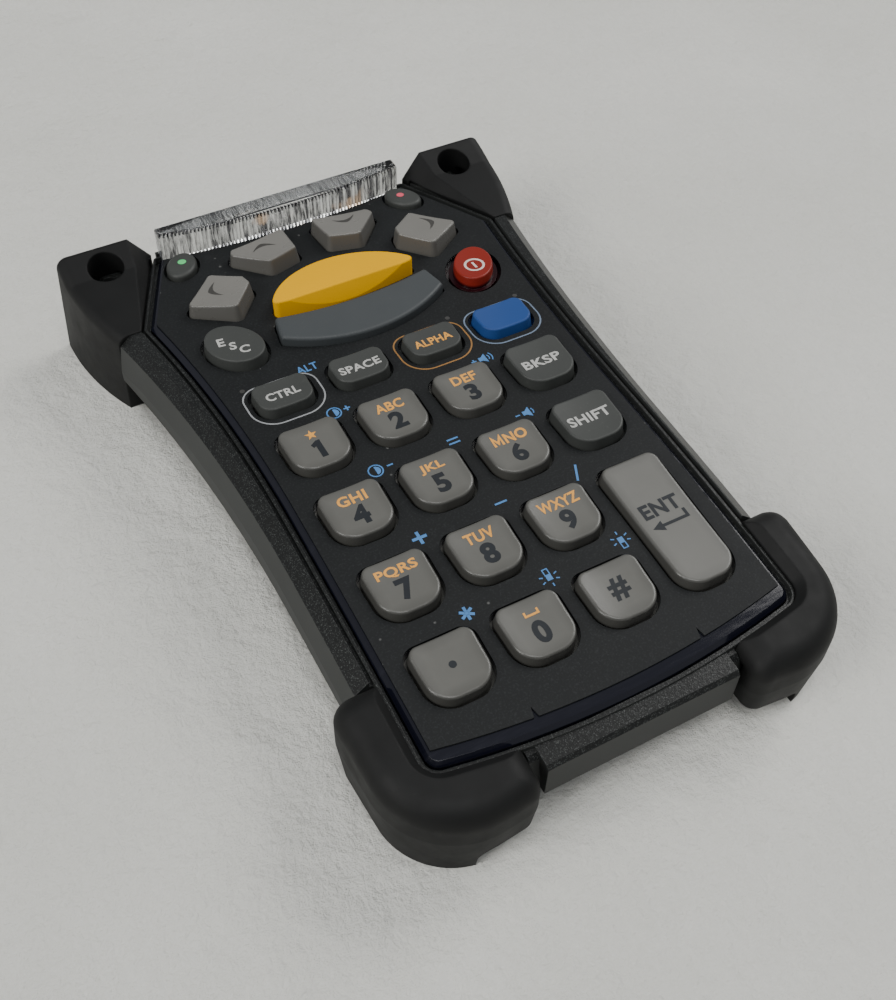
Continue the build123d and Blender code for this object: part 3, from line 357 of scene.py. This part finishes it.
def towards_rim(s, axis, middle, pitch, start, shaded_rim):
    """0 in the middle of a cap and 1 at its rim, repeated along an axis for caps at a pitch."""
    from_edge = s.math("SUBTRACT", s.along(axis), middle - pitch / 2)
    turns = s.math("MULTIPLY", from_edge, 1 / pitch)
    away = s.math("ABSOLUTE", s.math("SUBTRACT", s.math("FRACT", turns), 0.5))
    return s.fit(away, start / pitch, shaded_rim / pitch)


def milky_material(name, colour, rough, soften, caps=None):
    """Milky key plastic, with painted shade that draws it darker on its walls and, with caps, towards the
    rim of each cap.
    """
    s = Shader(name, colour, rough)
    cloud = s.noise(95, 4.0, 0.6)
    base = s.mix(s.fit(cloud, 0.3, 0.7), shade(colour, 0.95), shade(colour, 1.05))
    # painted shade: walls that turn away from up are drawn darker
    base = s.mix(s.facing_up(0.7, 0.97), shade(colour, 0.62), base)
    if caps:
        x, pitch_x, y, pitch_y, half = caps
        # painted shade: each cap is drawn darker towards its rim
        sides = towards_rim(s, "X", x, pitch_x, CAP_HALF_W - CAP_RIM, CAP_HALF_W)
        ends = towards_rim(s, "Y", y, pitch_y, half - CAP_RIM_GAP - CAP_RIM, half - CAP_RIM_GAP)
        shaded_rim = s.math("MULTIPLY", s.math("MAXIMUM", sides, ends), 0.55)
        base = s.mix(shaded_rim, base, shade(colour, 0.45))
    s.colour(base)
    s.value("Specular IOR Level", 0.4)
    s.value("Coat Weight", 0.25)
    s.value("Coat Roughness", 0.18)
    s.roughness(s.fit(s.noise(240, 3.0, 0.6), 0.25, 0.75, rough - 0.06, rough + 0.06))
    s.relief(s.noise(1800, 2.0, 0.5), 0.003 * MM, soften * MM)
    return s.material


def power_material():
    """Red button, drawn dark red as painted shade and glossier below its top, where it lies in the hole.
    """
    red, shaded_rim = (0.215, 0.0165, 0.009), (0.016, 0.0012, 0.003)
    s = Shader("key_red", red, 0.35)
    s.value("Specular IOR Level", 0.3)
    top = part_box("key_power")[1].z
    # painted shade: below its top, where it sinks into the hole, the key is drawn dark red
    rise = s.fit(s.along("Z"), top - 1.9 * MM, top - 1.4 * MM)
    s.colour(s.mix(rise, shaded_rim, red))
    s.roughness(s.fit(rise, 0.0, 1.0, 0.28, 0.4))
    s.relief(s.noise(1800, 2.0, 0.5), 0.003 * MM, 0.12 * MM)
    return s.material


def print_material(name, colour):
    """Printed ink with slightly uneven cover."""
    s = Shader(name, colour, 0.55)
    s.value("Specular IOR Level", 0.3)
    cover = s.fit(s.noise(900, 3.0, 0.7), 0.3, 0.7)
    s.colour(s.mix(cover, shade(colour, 0.86), shade(colour, 1.06)))
    s.relief(s.noise(2600, 2.0, 0.5), 0.003 * MM)
    return s.material


def metal_material(name, colour, rough):
    """Steel with fine brush lines."""
    s = Shader(name, colour, rough, metallic=1.0)
    brush = s.noise(700, 4.0, 0.7, stretch=(1.0, 14.0, 1.0))
    s.roughness(s.fit(brush, 0.3, 0.7, rough - 0.08, rough + 0.1))
    s.relief(s.noise(1500, 3.0, 0.6), 0.002 * MM)
    return s.material


def board_material():
    """Green solder mask with faint copper tracks under it."""
    mask = (0.012, 0.085, 0.034)
    s = Shader("board_green", mask, 0.3)
    track = s.add("ShaderNodeTexBrick")
    track.inputs["Scale"].default_value = 190
    track.inputs["Mortar Size"].default_value = 0.06
    track.inputs["Color1"].default_value = (*mask, 1)
    track.inputs["Color2"].default_value = (0.010, 0.072, 0.030, 1)
    track.inputs["Mortar"].default_value = (0.03, 0.15, 0.05, 1)
    s.join(s.place, track.inputs["Vector"])
    s.colour(track.outputs["Color"])
    s.relief(track.outputs["Fac"], 0.01 * MM)
    return s.material


def floor_material():
    """Pale table cloth, slightly crumpled."""
    s = Shader("floor_cloth", (0.72, 0.705, 0.68), 0.9)
    s.value("Specular IOR Level", 0.2)
    cloud = s.noise(9, 6.0, 0.6)
    fuzz = s.noise(900, 3.0, 0.7, stretch=(1.0, 0.35, 1.0))
    cloth = s.mix(s.fit(cloud, 0.3, 0.7), (0.66, 0.66, 0.615), (0.78, 0.778, 0.73))
    s.colour(s.mix(s.fit(fuzz, 0.3, 0.7, 0.0, 0.25), cloth, (0.60, 0.60, 0.57)))
    s.relief(s.noise(55, 9.0, 0.68), 3.4 * MM)
    return s.material


MILKY = (0.110, 0.109, 0.099)
MATERIALS = {
    "case_plastic": case_material(),
    "plate_gloss": plate_material(),
    "overlay_matte": overlay_material(),
    "rubber_black": moulded("rubber_black", (0.0060, 0.0063, 0.0062), 0.6, grain=0.010, grain_scale=1900,
                            mottle=0.15, wear=0.5, soften=0.5, shine=0.24),
    "lens_clear": lens_material(),
    "seal_foam": moulded("seal_foam", (0.012, 0.012, 0.012), 0.9, grain=0.08, grain_scale=1200, wear=0),
    "silicone": moulded("silicone", (0.30, 0.31, 0.30), 0.5, grain=0.01, wear=0),
    "board_green": board_material(),
    "dome_steel": metal_material("dome_steel", (0.55, 0.55, 0.52), 0.3),
    "screw_steel": metal_material("screw_steel", (0.20, 0.20, 0.195), 0.4),
    "lamp_white": moulded("lamp_white", (0.75, 0.74, 0.68), 0.3, grain=0.003, wear=0),
    "chip_black": moulded("chip_black", (0.012, 0.012, 0.012), 0.45, grain=0.01, wear=0),
    "key_light_grey": milky_material("key_light_grey", MILKY, 0.34, 0.3, pad_caps()),
    "key_dark_grey": key_material("key_dark_grey", (0.043, 0.046, 0.043), 0.5, speck=0.25, shine=0.35),
    "key_translucent": milky_material("key_translucent", (0.165, 0.160, 0.146), 0.3, 0.4),
    "key_slate": key_material("key_slate", (0.050, 0.056, 0.059), 0.5, speck=0.15, shine=0.35),
    "key_yellow": key_material("key_yellow", (0.78, 0.400, 0.0), 0.7, shine=0.0),
    "key_blue": key_material("key_blue", (0.016, 0.060, 0.215), 0.5, shine=0.3),
    "key_red": power_material(),
}
INK_COLOURS = {
    "dark": (0.014, 0.017, 0.021),
    "orange": (0.74, 0.35, 0.07),
    "ochre": (0.30, 0.155, 0.050),
    "blue": (0.075, 0.215, 0.47),
    "mist": (0.16, 0.21, 0.29),
    "white": (0.45, 0.45, 0.43),
    "grey": (0.30, 0.31, 0.32),
    "pale": (0.70, 0.62, 0.56),
    "green": (0.10, 0.62, 0.20),
    "red": (0.70, 0.10, 0.14),
    "mark": (0.045, 0.045, 0.043),
    "arrow": (0.050, 0.048, 0.044),
}
INK = {name: print_material(f"ink_{name}", colour) for name, colour in INK_COLOURS.items()}


def dress(node, material):
    data = NODES[node].data
    data.materials.clear()
    data.materials.append(material)


def dress_nodes():
    """Every CAD node takes the material of its slot; the enter key's rim of painted shade has its own
    measures.
    """
    for node, slot in SLOTS.items():
        dress(node, MATERIALS[slot])
    dress("key_enter", milky_material("key_light_grey_long", MILKY, 0.34, 0.3, enter_caps()))


# ---- meshes and objects ------------------------------------------------------------------------
def new_mesh(name, verts, faces, material):
    mesh = bpy.data.meshes.new(name)
    mesh.from_pydata(verts, [], faces)
    mesh.materials.append(material)
    return mesh


def new_object(name, data):
    obj = bpy.data.objects.new(name, data)
    bpy.context.scene.collection.objects.link(obj)
    return obj


# ---- flat shapes, in millimetres around their own origin ---------------------------------------
def arc(centre_x, centre_y, radius, start, end, steps=20):
    """Points along an arc, in degrees."""
    turn = [math.radians(start + (end - start) * i / steps) for i in range(steps + 1)]
    return [(centre_x + radius * math.cos(a), centre_y + radius * math.sin(a)) for a in turn]


def band(points, width, closed=False):
    """A stroke of even width along points, as vertices and faces."""
    count = len(points)
    verts, faces = [], []
    for i, point in enumerate(points):
        before = points[i - 1] if (closed or i > 0) else point
        after = points[(i + 1) % count] if (closed or i < count - 1) else point
        a = Vector(point) - Vector(before)
        b = Vector(after) - Vector(point)
        a = a.normalized() if a.length > 1e-9 else b.normalized()
        b = b.normalized() if b.length > 1e-9 else a
        middle = (a + b).normalized() if (a + b).length > 1e-6 else a
        reach = width / 2 / max(0.4, middle.dot(a))
        side = Vector((-middle.y, middle.x)) * reach
        verts += [(point[0] + side.x, point[1] + side.y), (point[0] - side.x, point[1] - side.y)]
    for i in range(count if closed else count - 1):
        j = (i + 1) % count
        faces.append((2 * i + 1, 2 * j + 1, 2 * j, 2 * i))
    return verts, faces


def fill(points):
    """A filled outline that runs anticlockwise."""
    return list(points), [tuple(range(len(points)))]


def circle(radius, count):
    """Points of a closed circle round the origin."""
    return arc(0, 0, radius, 0, 360 - 360 / count, count - 1)


def disc(radius):
    return fill(circle(radius, 32))


def bar(x, y, width, height):
    """A filled rectangle round x, y."""
    left, right = x - width / 2, x + width / 2
    foot, top = y - height / 2, y + height / 2
    return fill([(left, foot), (right, foot), (right, top), (left, top)])


def together(*shapes):
    """Several shapes as one."""
    verts, faces = [], []
    for more_verts, more_faces in shapes:
        start = len(verts)
        verts += more_verts
        faces += [tuple(start + i for i in face) for face in more_faces]
    return verts, faces


def lettering(text, height, bold, width=None):
    """Filled letters of a height and, if given, a width, centred on the origin."""
    curve = bpy.data.curves.new("letters", "FONT")
    curve.body = text
    curve.size = 1.0
    curve.offset = bold
    curve.space_character = 1.06
    curve.resolution_u = 5
    obj = new_object("letters", curve)
    bpy.context.view_layer.update()
    evaluated = obj.evaluated_get(bpy.context.evaluated_depsgraph_get())
    mesh = bpy.data.meshes.new_from_object(evaluated)
    bpy.data.objects.remove(obj)
    xs = [v.co.x for v in mesh.vertices]
    ys = [v.co.y for v in mesh.vertices]
    tall = height / (max(ys) - min(ys))
    wide = width / (max(xs) - min(xs)) if width else tall
    mid_x = (max(xs) + min(xs)) / 2
    mid_y = (max(ys) + min(ys)) / 2
    verts = [((v.co.x - mid_x) * wide, (v.co.y - mid_y) * tall) for v in mesh.vertices]
    faces = [tuple(p.vertices) for p in mesh.polygons]
    bpy.data.meshes.remove(mesh)
    return verts, faces


def figure_one(height):
    """Digit 1 with a slanting flag."""
    outline = [(-0.06, -0.5), (0.20, -0.5), (0.20, 0.5), (0.03, 0.5),
               (-0.24, 0.33), (-0.17, 0.14), (-0.06, 0.2)]
    return fill([(x * height, y * height) for x, y in outline])


def turned(shape):
    """A shape turned by half a turn; a bold 9 from the font has a broken fill, a 6 has not."""
    verts, faces = shape
    return [(-x, -y) for x, y in verts], faces


def beside(shape, dx):
    """A shape moved along x."""
    verts, faces = shape
    return [(x + dx, y) for x, y in verts], faces


def letters_mno():
    """The word MNO, its M built from one stroke because the font's bold M has a broken fill."""
    half_h, half_w, stroke = 0.95, 0.9, 0.42
    leg, peak, dip = half_w - stroke / 2, half_h - 0.15, -0.45
    m = band([(-leg, -half_h), (-leg, peak), (0, dip), (leg, peak), (leg, -half_h)], stroke)
    return together(beside(m, -2.0), beside(lettering("NO", 2 * half_h, SIGN_BOLD, 3.8), 1.1))


def arched_mark(width, height, thick):
    """Arrowhead as an arch that is thick at its crest and thin at its feet."""
    steps = [i / 12 - 1 for i in range(25)]
    outer = [(u * width / 2, height * (1 - abs(u) ** 1.6)) for u in steps]
    inner = [(u * width / 2 * 0.97, (height - thick) * (1 - abs(u) ** 1.9)) for u in steps[1:-1]]
    verts = outer + inner
    count = len(outer)
    faces = [(0, count, 1)]
    faces += [(i, count + i - 1, count + i, i + 1) for i in range(1, count - 2)]
    faces.append((count - 2, count + len(inner) - 1, count - 1))
    return [(x, y - height / 2) for x, y in verts], [tuple(reversed(face)) for face in faces]


def star(radius):
    """Five-pointed star."""
    points = []
    for i in range(10):
        r = radius if i % 2 == 0 else radius * 0.42
        a = math.radians(90 + 36 * i)
        points.append((r * math.cos(a), r * math.sin(a)))
    return fill(points)


def plus(size, width):
    """Plus sign of three bars that meet without lying on each other."""
    arm = size / 2 - width / 2
    reach = (size / 2 + width / 2) / 2
    return together(bar(0, 0, size, width), bar(0, reach, width, arm), bar(0, -reach, width, arm))


def minus(size, width):
    return bar(0, 0, size, width)


def equals():
    return together(bar(0, 0.42, 1.9, SIGN_STROKE), bar(0, -0.42, 1.9, SIGN_STROKE))


def asterisk():
    """Six rays round a small disc."""
    rays = []
    for i in range(6):
        a = math.radians(90 + 60 * i)
        rays.append(band([(r * math.cos(a), r * math.sin(a)) for r in (0.25, 1.1)], 0.45))
    return together(disc(0.3), *rays)


def contrast_icon():
    """Ring with its right half filled."""
    half = fill([(0, -0.8)] + arc(0, 0, 0.8, -80, 80, 12) + [(0, 0.8)])
    return together(band(arc(0, 0, 1.12, 0, 350, 35), 0.22, closed=True), half)


def speaker_icon(waves):
    horn = fill([(-0.9, -0.42), (-0.35, -0.42), (0.45, -1.05), (0.45, 1.05), (-0.35, 0.42), (-0.9, 0.42)])
    arcs = [band(arc(0.1, 0, 0.85 + 0.55 * i, -38, 38, 10), ICON_STROKE) for i in range(waves)]
    return together(horn, *arcs)


def lamp_icon(head_up):
    """A small lamp with rays round its lit end."""
    body = band([(-0.38, -1.0), (0.38, -1.0), (0.38, 0.0), (-0.38, 0.0)], 0.18, closed=True)
    head = bar(0, 0.5, 0.9, 0.85)
    rays = []
    for angle in (-20, 25, 90, 155, 200):
        a = math.radians(angle)
        ends = [(r * math.cos(a), 0.5 + r * math.sin(a)) for r in (0.95, 1.5)]
        rays.append(band(ends, ICON_STROKE))
    verts, faces = together(body, head, *rays)
    turn = 1 if head_up else -1
    return [(x, y * turn) for x, y in verts], faces


def function_ring():
    """Ring printed round a function key: squarer at the top, rounder at the foot."""
    top_x, top_y = RING_HALF_W - RING_TOP_R, RING_HALF_H - RING_TOP_R
    foot_x, foot_y = RING_HALF_W - RING_FOOT_R, RING_HALF_H - RING_FOOT_R
    points = arc(top_x, top_y, RING_TOP_R, 0, 90, 10)
    points += arc(-top_x, top_y, RING_TOP_R, 90, 180, 10)
    points += arc(-foot_x, -foot_y, RING_FOOT_R, 180, 270, 14)
    points += arc(foot_x, -foot_y, RING_FOOT_R, 270, 360, 14)
    return band(points, RING_STROKE, closed=True)


# ---- printing flat shapes on the part ----------------------------------------------------------
TREES = {}


def tree_of(node):
    """Search tree over a node's faces, built once."""
    if node not in TREES:
        data = NODES[node].data
        data.calc_loop_triangles()
        TREES[node] = BVHTree.FromPolygons([v.co for v in data.vertices],
                                           [t.vertices for t in data.loop_triangles])
    return TREES[node]


def surface_height(node, x, y):
    """Height of a node's upper surface; a ray that slips between two faces is cast again beside them."""
    for dx, dy in ((0, 0), (1, 2), (-2, 1), (2, -1), (-1, -2)):
        start = Vector((x + dx * RAY_STEP, y + dy * RAY_STEP, RAY_START))
        hit = tree_of(node).ray_cast(start, Vector((0, 0, -1)))[0]
        if hit:
            return hit.z
    raise ValueError(f"nothing to print on at {x}, {y} on {node}")


def print_on(name, shape, node, body, x, y, ink, angle):
    """Lays a flat shape on a node's upper surface at x, y in millimetres."""
    verts, faces = shape
    mesh = new_mesh(name, [(vx * MM, vy * MM, 0) for vx, vy in verts], faces, INK[ink])
    work = bmesh.new()
    work.from_mesh(mesh)
    bmesh.ops.remove_doubles(work, verts=work.verts, dist=1e-7)
    bmesh.ops.triangulate(work, faces=work.faces)
    for _ in range(2):
        long_edges = [e for e in work.edges if e.calc_length() > PRINT_STEP]
        if long_edges:
            bmesh.ops.subdivide_edges(work, edges=long_edges, cuts=1)
            bmesh.ops.triangulate(work, faces=work.faces)
    place = Matrix.Translation((x * MM, y * MM, 0)) @ Matrix.Rotation(math.radians(angle), 4, "Z")
    for v in work.verts:
        spot = place @ v.co
        v.co = Vector((spot.x, spot.y, surface_height(node, spot.x, spot.y) + LIFT))
    for face in work.faces:
        face.normal_update()
        if face.normal.z < 0:
            face.normal_flip()
    work.to_mesh(mesh)
    work.free()
    obj = new_object(name, mesh)
    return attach(obj, body)


def centre(node):
    """Centre of a key in plan, in millimetres."""
    x, y, _ = key_box(node)
    return x / MM, y / MM


MIDDLE = centre("key_5")


def print_key(key, what, shape, dx, dy, ink, angle=0.0):
    """Print on a key, with dx and dy counted from its centre."""
    x, y = centre(key)
    obj = print_on(f"{key}_{what}", shape, key, key, x + dx, y + dy, ink, angle)
    return obj


def print_face(name, shape, x, y, ink, angle=0.0):
    """Print on the matte layer, with x and y counted from the middle of key 5."""
    obj = print_on(name, shape, "face_overlay", "unit", MIDDLE[0] + x, MIDDLE[1] + y, ink, angle)
    return obj


def digit_shape(digit):
    if digit == "1":
        return figure_one(DIGIT_HEIGHT)
    if digit == "9":
        return turned(lettering("6", DIGIT_HEIGHT, DIGIT_BOLD))
    return lettering(digit, DIGIT_HEIGHT, DIGIT_BOLD)


def digit_legends():
    """Digits, and over them the telephone letters with their widths."""
    for digit in "0123456789":
        print_key(f"key_{digit}", "digit", digit_shape(digit), 0, DIGIT_UP, "dark")
    for digit, word, width in (("2", "ABC", 4.7), ("3", "DEF", 4.3), ("4", "GHI", 4.6), ("5", "JKL", 4.0),
                               ("6", "MNO", None), ("7", "PQRS", 6.4), ("8", "TUV", 4.7),
                               ("9", "WXYZ", 6.7)):
        shape = lettering(word, LETTERS_HEIGHT, LETTERS_BOLD, width) if width else letters_mno()
        print_key(f"key_{digit}", "letters", shape, 0, LETTERS_UP, "orange")
    print_key("key_1", "star", star(1.0), 0, LETTERS_UP, "orange")
    space = band([(-1.0, 0.35), (-1.0, -0.35), (1.0, -0.35), (1.0, 0.35)], SIGN_STROKE)
    print_key("key_0", "space", space, 0.1, LETTERS_UP, "orange")


def word_legends():
    """Signs and words on the other keys."""
    print_key("key_dot", "dot", disc(0.55), 0, 0.05, "dark")
    print_key("key_hash", "hash", lettering("#", 3.6, SIGN_BOLD), 0, 0.1, "dark")
    print_key("key_enter", "word", lettering("ENT", 2.6, SIGN_BOLD, 6.5), -0.1, 2.1, "dark")
    arrow = together(band([(2.9, 1.3), (2.9, -0.1), (-1.6, -0.1)], 0.5),
                     fill([(-3.2, -0.1), (-1.4, -1.0), (-1.4, 0.8)]))
    print_key("key_enter", "arrow", arrow, -0.1, -0.8, "dark")
    for key, word, height, width, dx, dy, ink in (
            ("key_backspace", "BKSP", 1.9, 6.8, -0.2, -0.2, "white"),
            ("key_shift", "SHIFT", 1.95, 7.4, -0.1, 0.1, "white"),
            ("key_ctrl", "CTRL", 1.75, 5.6, -0.2, -0.2, "white"),
            ("key_space", "SPACE", 1.75, 7.1, -0.1, -0.2, "white"),
            ("key_alpha", "ALPHA", 1.75, 6.7, -0.1, -0.2, "orange")):
        print_key(key, "word", lettering(word, height, LETTERS_BOLD, width), dx, dy, ink)
    for letter, dx, dy, angle in (("E", -1.9, 1.3, -6), ("S", -0.45, -0.3, -10), ("C", 1.0, -1.9, -14)):
        shape = lettering(letter, 1.95, LETTERS_BOLD)
        print_key("key_escape", f"letter_{letter}", shape, dx, dy, "white", angle)


def oval_and_arrow_legends():
    """Power sign, the two coloured dots and the arrowheads."""
    sign = together(band(arc(0, 0, 1.62, 0, 351, 39), 0.42, closed=True), bar(0, 0, 0.42, 1.7))
    print_key("key_power", "sign", sign, -0.1, -0.5, "pale")
    print_key("key_green_dot", "dot", disc(0.75), 0.3, 0.5, "green")
    print_key("key_red_dot", "dot", disc(0.7), -0.3, 0.5, "red")
    mark = arched_mark(4.4, 1.9, 0.95)
    for way, dx, dy, angle in (("up", 0.3, 1.2, 0), ("down", 0.0, 1.6, 180),
                               ("left", -0.6, 1.2, 90), ("right", 1.4, 1.2, -90)):
        print_key(f"key_arrow_{way}", "mark", mark, dx, dy, "arrow", angle)


def face_legends():
    """Rings, blue signs and pips on the matte layer."""
    for key, ink in (("key_ctrl", "grey"), ("key_alpha", "ochre"), ("key_function", "mist")):
        x, y = centre(key)
        print_face(f"ring_{key}", function_ring(), x + 0.1 - MIDDLE[0], y - 0.35 - MIDDLE[1], ink)
    for name, shape, x, y, angle in (
            ("word_alt", lettering("ALT", 1.7, 0.02, 3.6), -7.2, 31.4, 0),
            ("contrast_up", contrast_icon(), -7.7, 20.0, 0),
            ("contrast_up_sign", plus(1.1, 0.28), -5.5, 20.1, 0),
            ("contrast_down", contrast_icon(), -7.3, 6.3, 0),
            ("contrast_down_sign", minus(1.0, 0.28), -4.9, 6.4, 0),
            ("volume_up", speaker_icon(2), 19.0, 20.0, 0),
            ("volume_up_sign", plus(0.9, 0.25), 17.2, 20.0, 0),
            ("volume_down", speaker_icon(1), 19.1, 6.3, 0),
            ("volume_down_sign", minus(0.8, 0.25), 17.3, 6.3, 0),
            ("sign_equals", equals(), 5.9, 6.3, 0),
            ("sign_plus", plus(2.3, 0.5), -7.3, -7.7, 0),
            ("sign_minus", minus(2.0, SIGN_STROKE), 6.3, -7.4, 0),
            ("sign_slash", bar(0, 0, 0.36, 3.1), 19.3, -7.6, -24),
            ("sign_asterisk", asterisk(), -7.4, -21.8, 0),
            ("lamp_down", lamp_icon(False), 5.8, -21.4, 0),
            ("lamp_up", lamp_icon(True), 18.45, -21.4, 0)):
        print_face(name, shape, x, y, "blue", angle)
    for number, (x, y) in enumerate(((-18.4, 31.2), (18.6, 31.6), (31.6, 31.4))):
        print_face(f"pip_{number}", disc(0.42), x, y, "mark")


# ---- the ribbed lens ---------------------------------------------------------------------------
def lens_reflector():
    """Pleated silvery sheet that lies under the clear bar."""
    low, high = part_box("light_lens")
    half_w = high.x - REFLECTOR_MARGIN
    verts = []
    for i in range(REFLECTOR_FOLDS + 1):
        x = -half_w + 2 * half_w * i / REFLECTOR_FOLDS
        front_y = low.y + LENS_BOW * (x / high.x) ** 2 + REFLECTOR_MARGIN
        z = low.z + REFLECTOR_RISE + REFLECTOR_PLEAT * (i % 2)
        verts += [(x, front_y, z), (x, high.y - REFLECTOR_MARGIN, z)]
    faces = [(2 * i, 2 * i + 2, 2 * i + 3, 2 * i + 1) for i in range(REFLECTOR_FOLDS)]
    obj = new_object("lens_reflector", new_mesh("lens_reflector", verts, faces, reflector_material()))
    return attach(obj, "unit")


def ribbed_lens():
    """Clear bar whose front wears fine upright ribs; it stands for the plain solid."""
    low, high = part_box("light_lens")
    half_w = high.x
    count = int(2 * half_w / RIB_PITCH) * RIB_STEPS
    front = []
    for i in range(count + 1):
        x = -half_w + 2 * half_w * i / count
        wave = RIB_DEPTH * abs(math.sin(math.pi * i / RIB_STEPS))
        front.append((x, low.y + LENS_BOW * (x / half_w) ** 2 + RIB_DEPTH - wave))
    outline = front + [(half_w, high.y), (-half_w, high.y)]
    size = len(outline)
    levels = [(low.z + LENS_FOOT, 0.0)] + [(high.z - down, inset) for down, inset in LENS_ROUND]
    verts, faces = [], []
    for z, inset in levels:
        for x, y in outline:
            y_in = y + inset if y < high.y - 1e-6 else y - inset * LENS_BACK_SHARE
            verts.append((x * (1 - inset / half_w * LENS_BACK_SHARE), y_in, z))
    for level in range(len(levels) - 1):
        for i in range(size):
            j = (i + 1) % size
            a, b = level * size, (level + 1) * size
            faces.append((a + i, a + j, b + j, b + i))
    top = (len(levels) - 1) * size
    faces.append(tuple(range(top, top + size)))
    faces.append(tuple(reversed(range(size))))
    mesh = new_mesh("lens_ribbed", verts, faces, MATERIALS["lens_clear"])
    work = bmesh.new()
    work.from_mesh(mesh)
    bmesh.ops.triangulate(work, faces=[f for f in work.faces if len(f.verts) > 4])
    bmesh.ops.recalc_face_normals(work, faces=work.faces)
    work.to_mesh(mesh)
    work.free()
    obj = new_object("lens_ribbed", mesh)
    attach(obj, "unit")
    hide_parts("light_lens")


# ---- stage ---------------------------------------------------------------------------------------
def stage():
    corners = [(-FLOOR_HALF, -FLOOR_HALF, 0), (FLOOR_HALF, -FLOOR_HALF, 0),
               (FLOOR_HALF, FLOOR_HALF, 0), (-FLOOR_HALF, FLOOR_HALF, 0)]
    floor = new_object("floor", new_mesh("floor", corners, [(0, 1, 2, 3)], floor_material()))


def soft_light(name, location, width, watts, colour):
    """A round area light that faces the unit, which lies at the origin."""
    data = bpy.data.lights.new(name, "AREA")
    data.shape = "DISK"
    data.size = width
    data.energy = watts
    data.color = colour
    obj = new_object(name, data)
    obj.location = location
    obj.rotation_euler = (-Vector(location)).to_track_quat("-Z", "Y").to_euler()


def lights():
    soft_light("left_light", (-1.15, -0.15, 0.85), 0.8, 12.0, (1.0, 0.99, 0.965))
    soft_light("right_light", (1.10, 0.30, 1.00), 0.8, 12.0, (1.0, 0.99, 0.97))
    soft_light("top_light", (-0.10, -0.40, 1.5), 0.9, 10.0, (0.99, 0.99, 0.98))
    world = bpy.data.worlds.new("studio")
    world.use_nodes = True
    background = world.node_tree.nodes["Background"]
    background.inputs["Color"].default_value = WORLD_COLOUR
    background.inputs["Strength"].default_value = WORLD_STRENGTH
    bpy.context.scene.world = world


def camera():
    data = bpy.data.cameras.new("camera")
    data.sensor_fit = "VERTICAL"
    data.sensor_height = SENSOR_HEIGHT
    data.lens = CAMERA_LENS
    data.clip_start = CAMERA_NEAR
    obj = new_object("camera", data)
    obj.location = CAMERA_PLACE
    obj.rotation_euler = [math.radians(a) for a in CAMERA_TURN]
    bpy.context.scene.camera = obj


dress_nodes()
digit_legends()
word_legends()
oval_and_arrow_legends()
face_legends()
lens_reflector()
ribbed_lens()
stage()
lights()
camera()
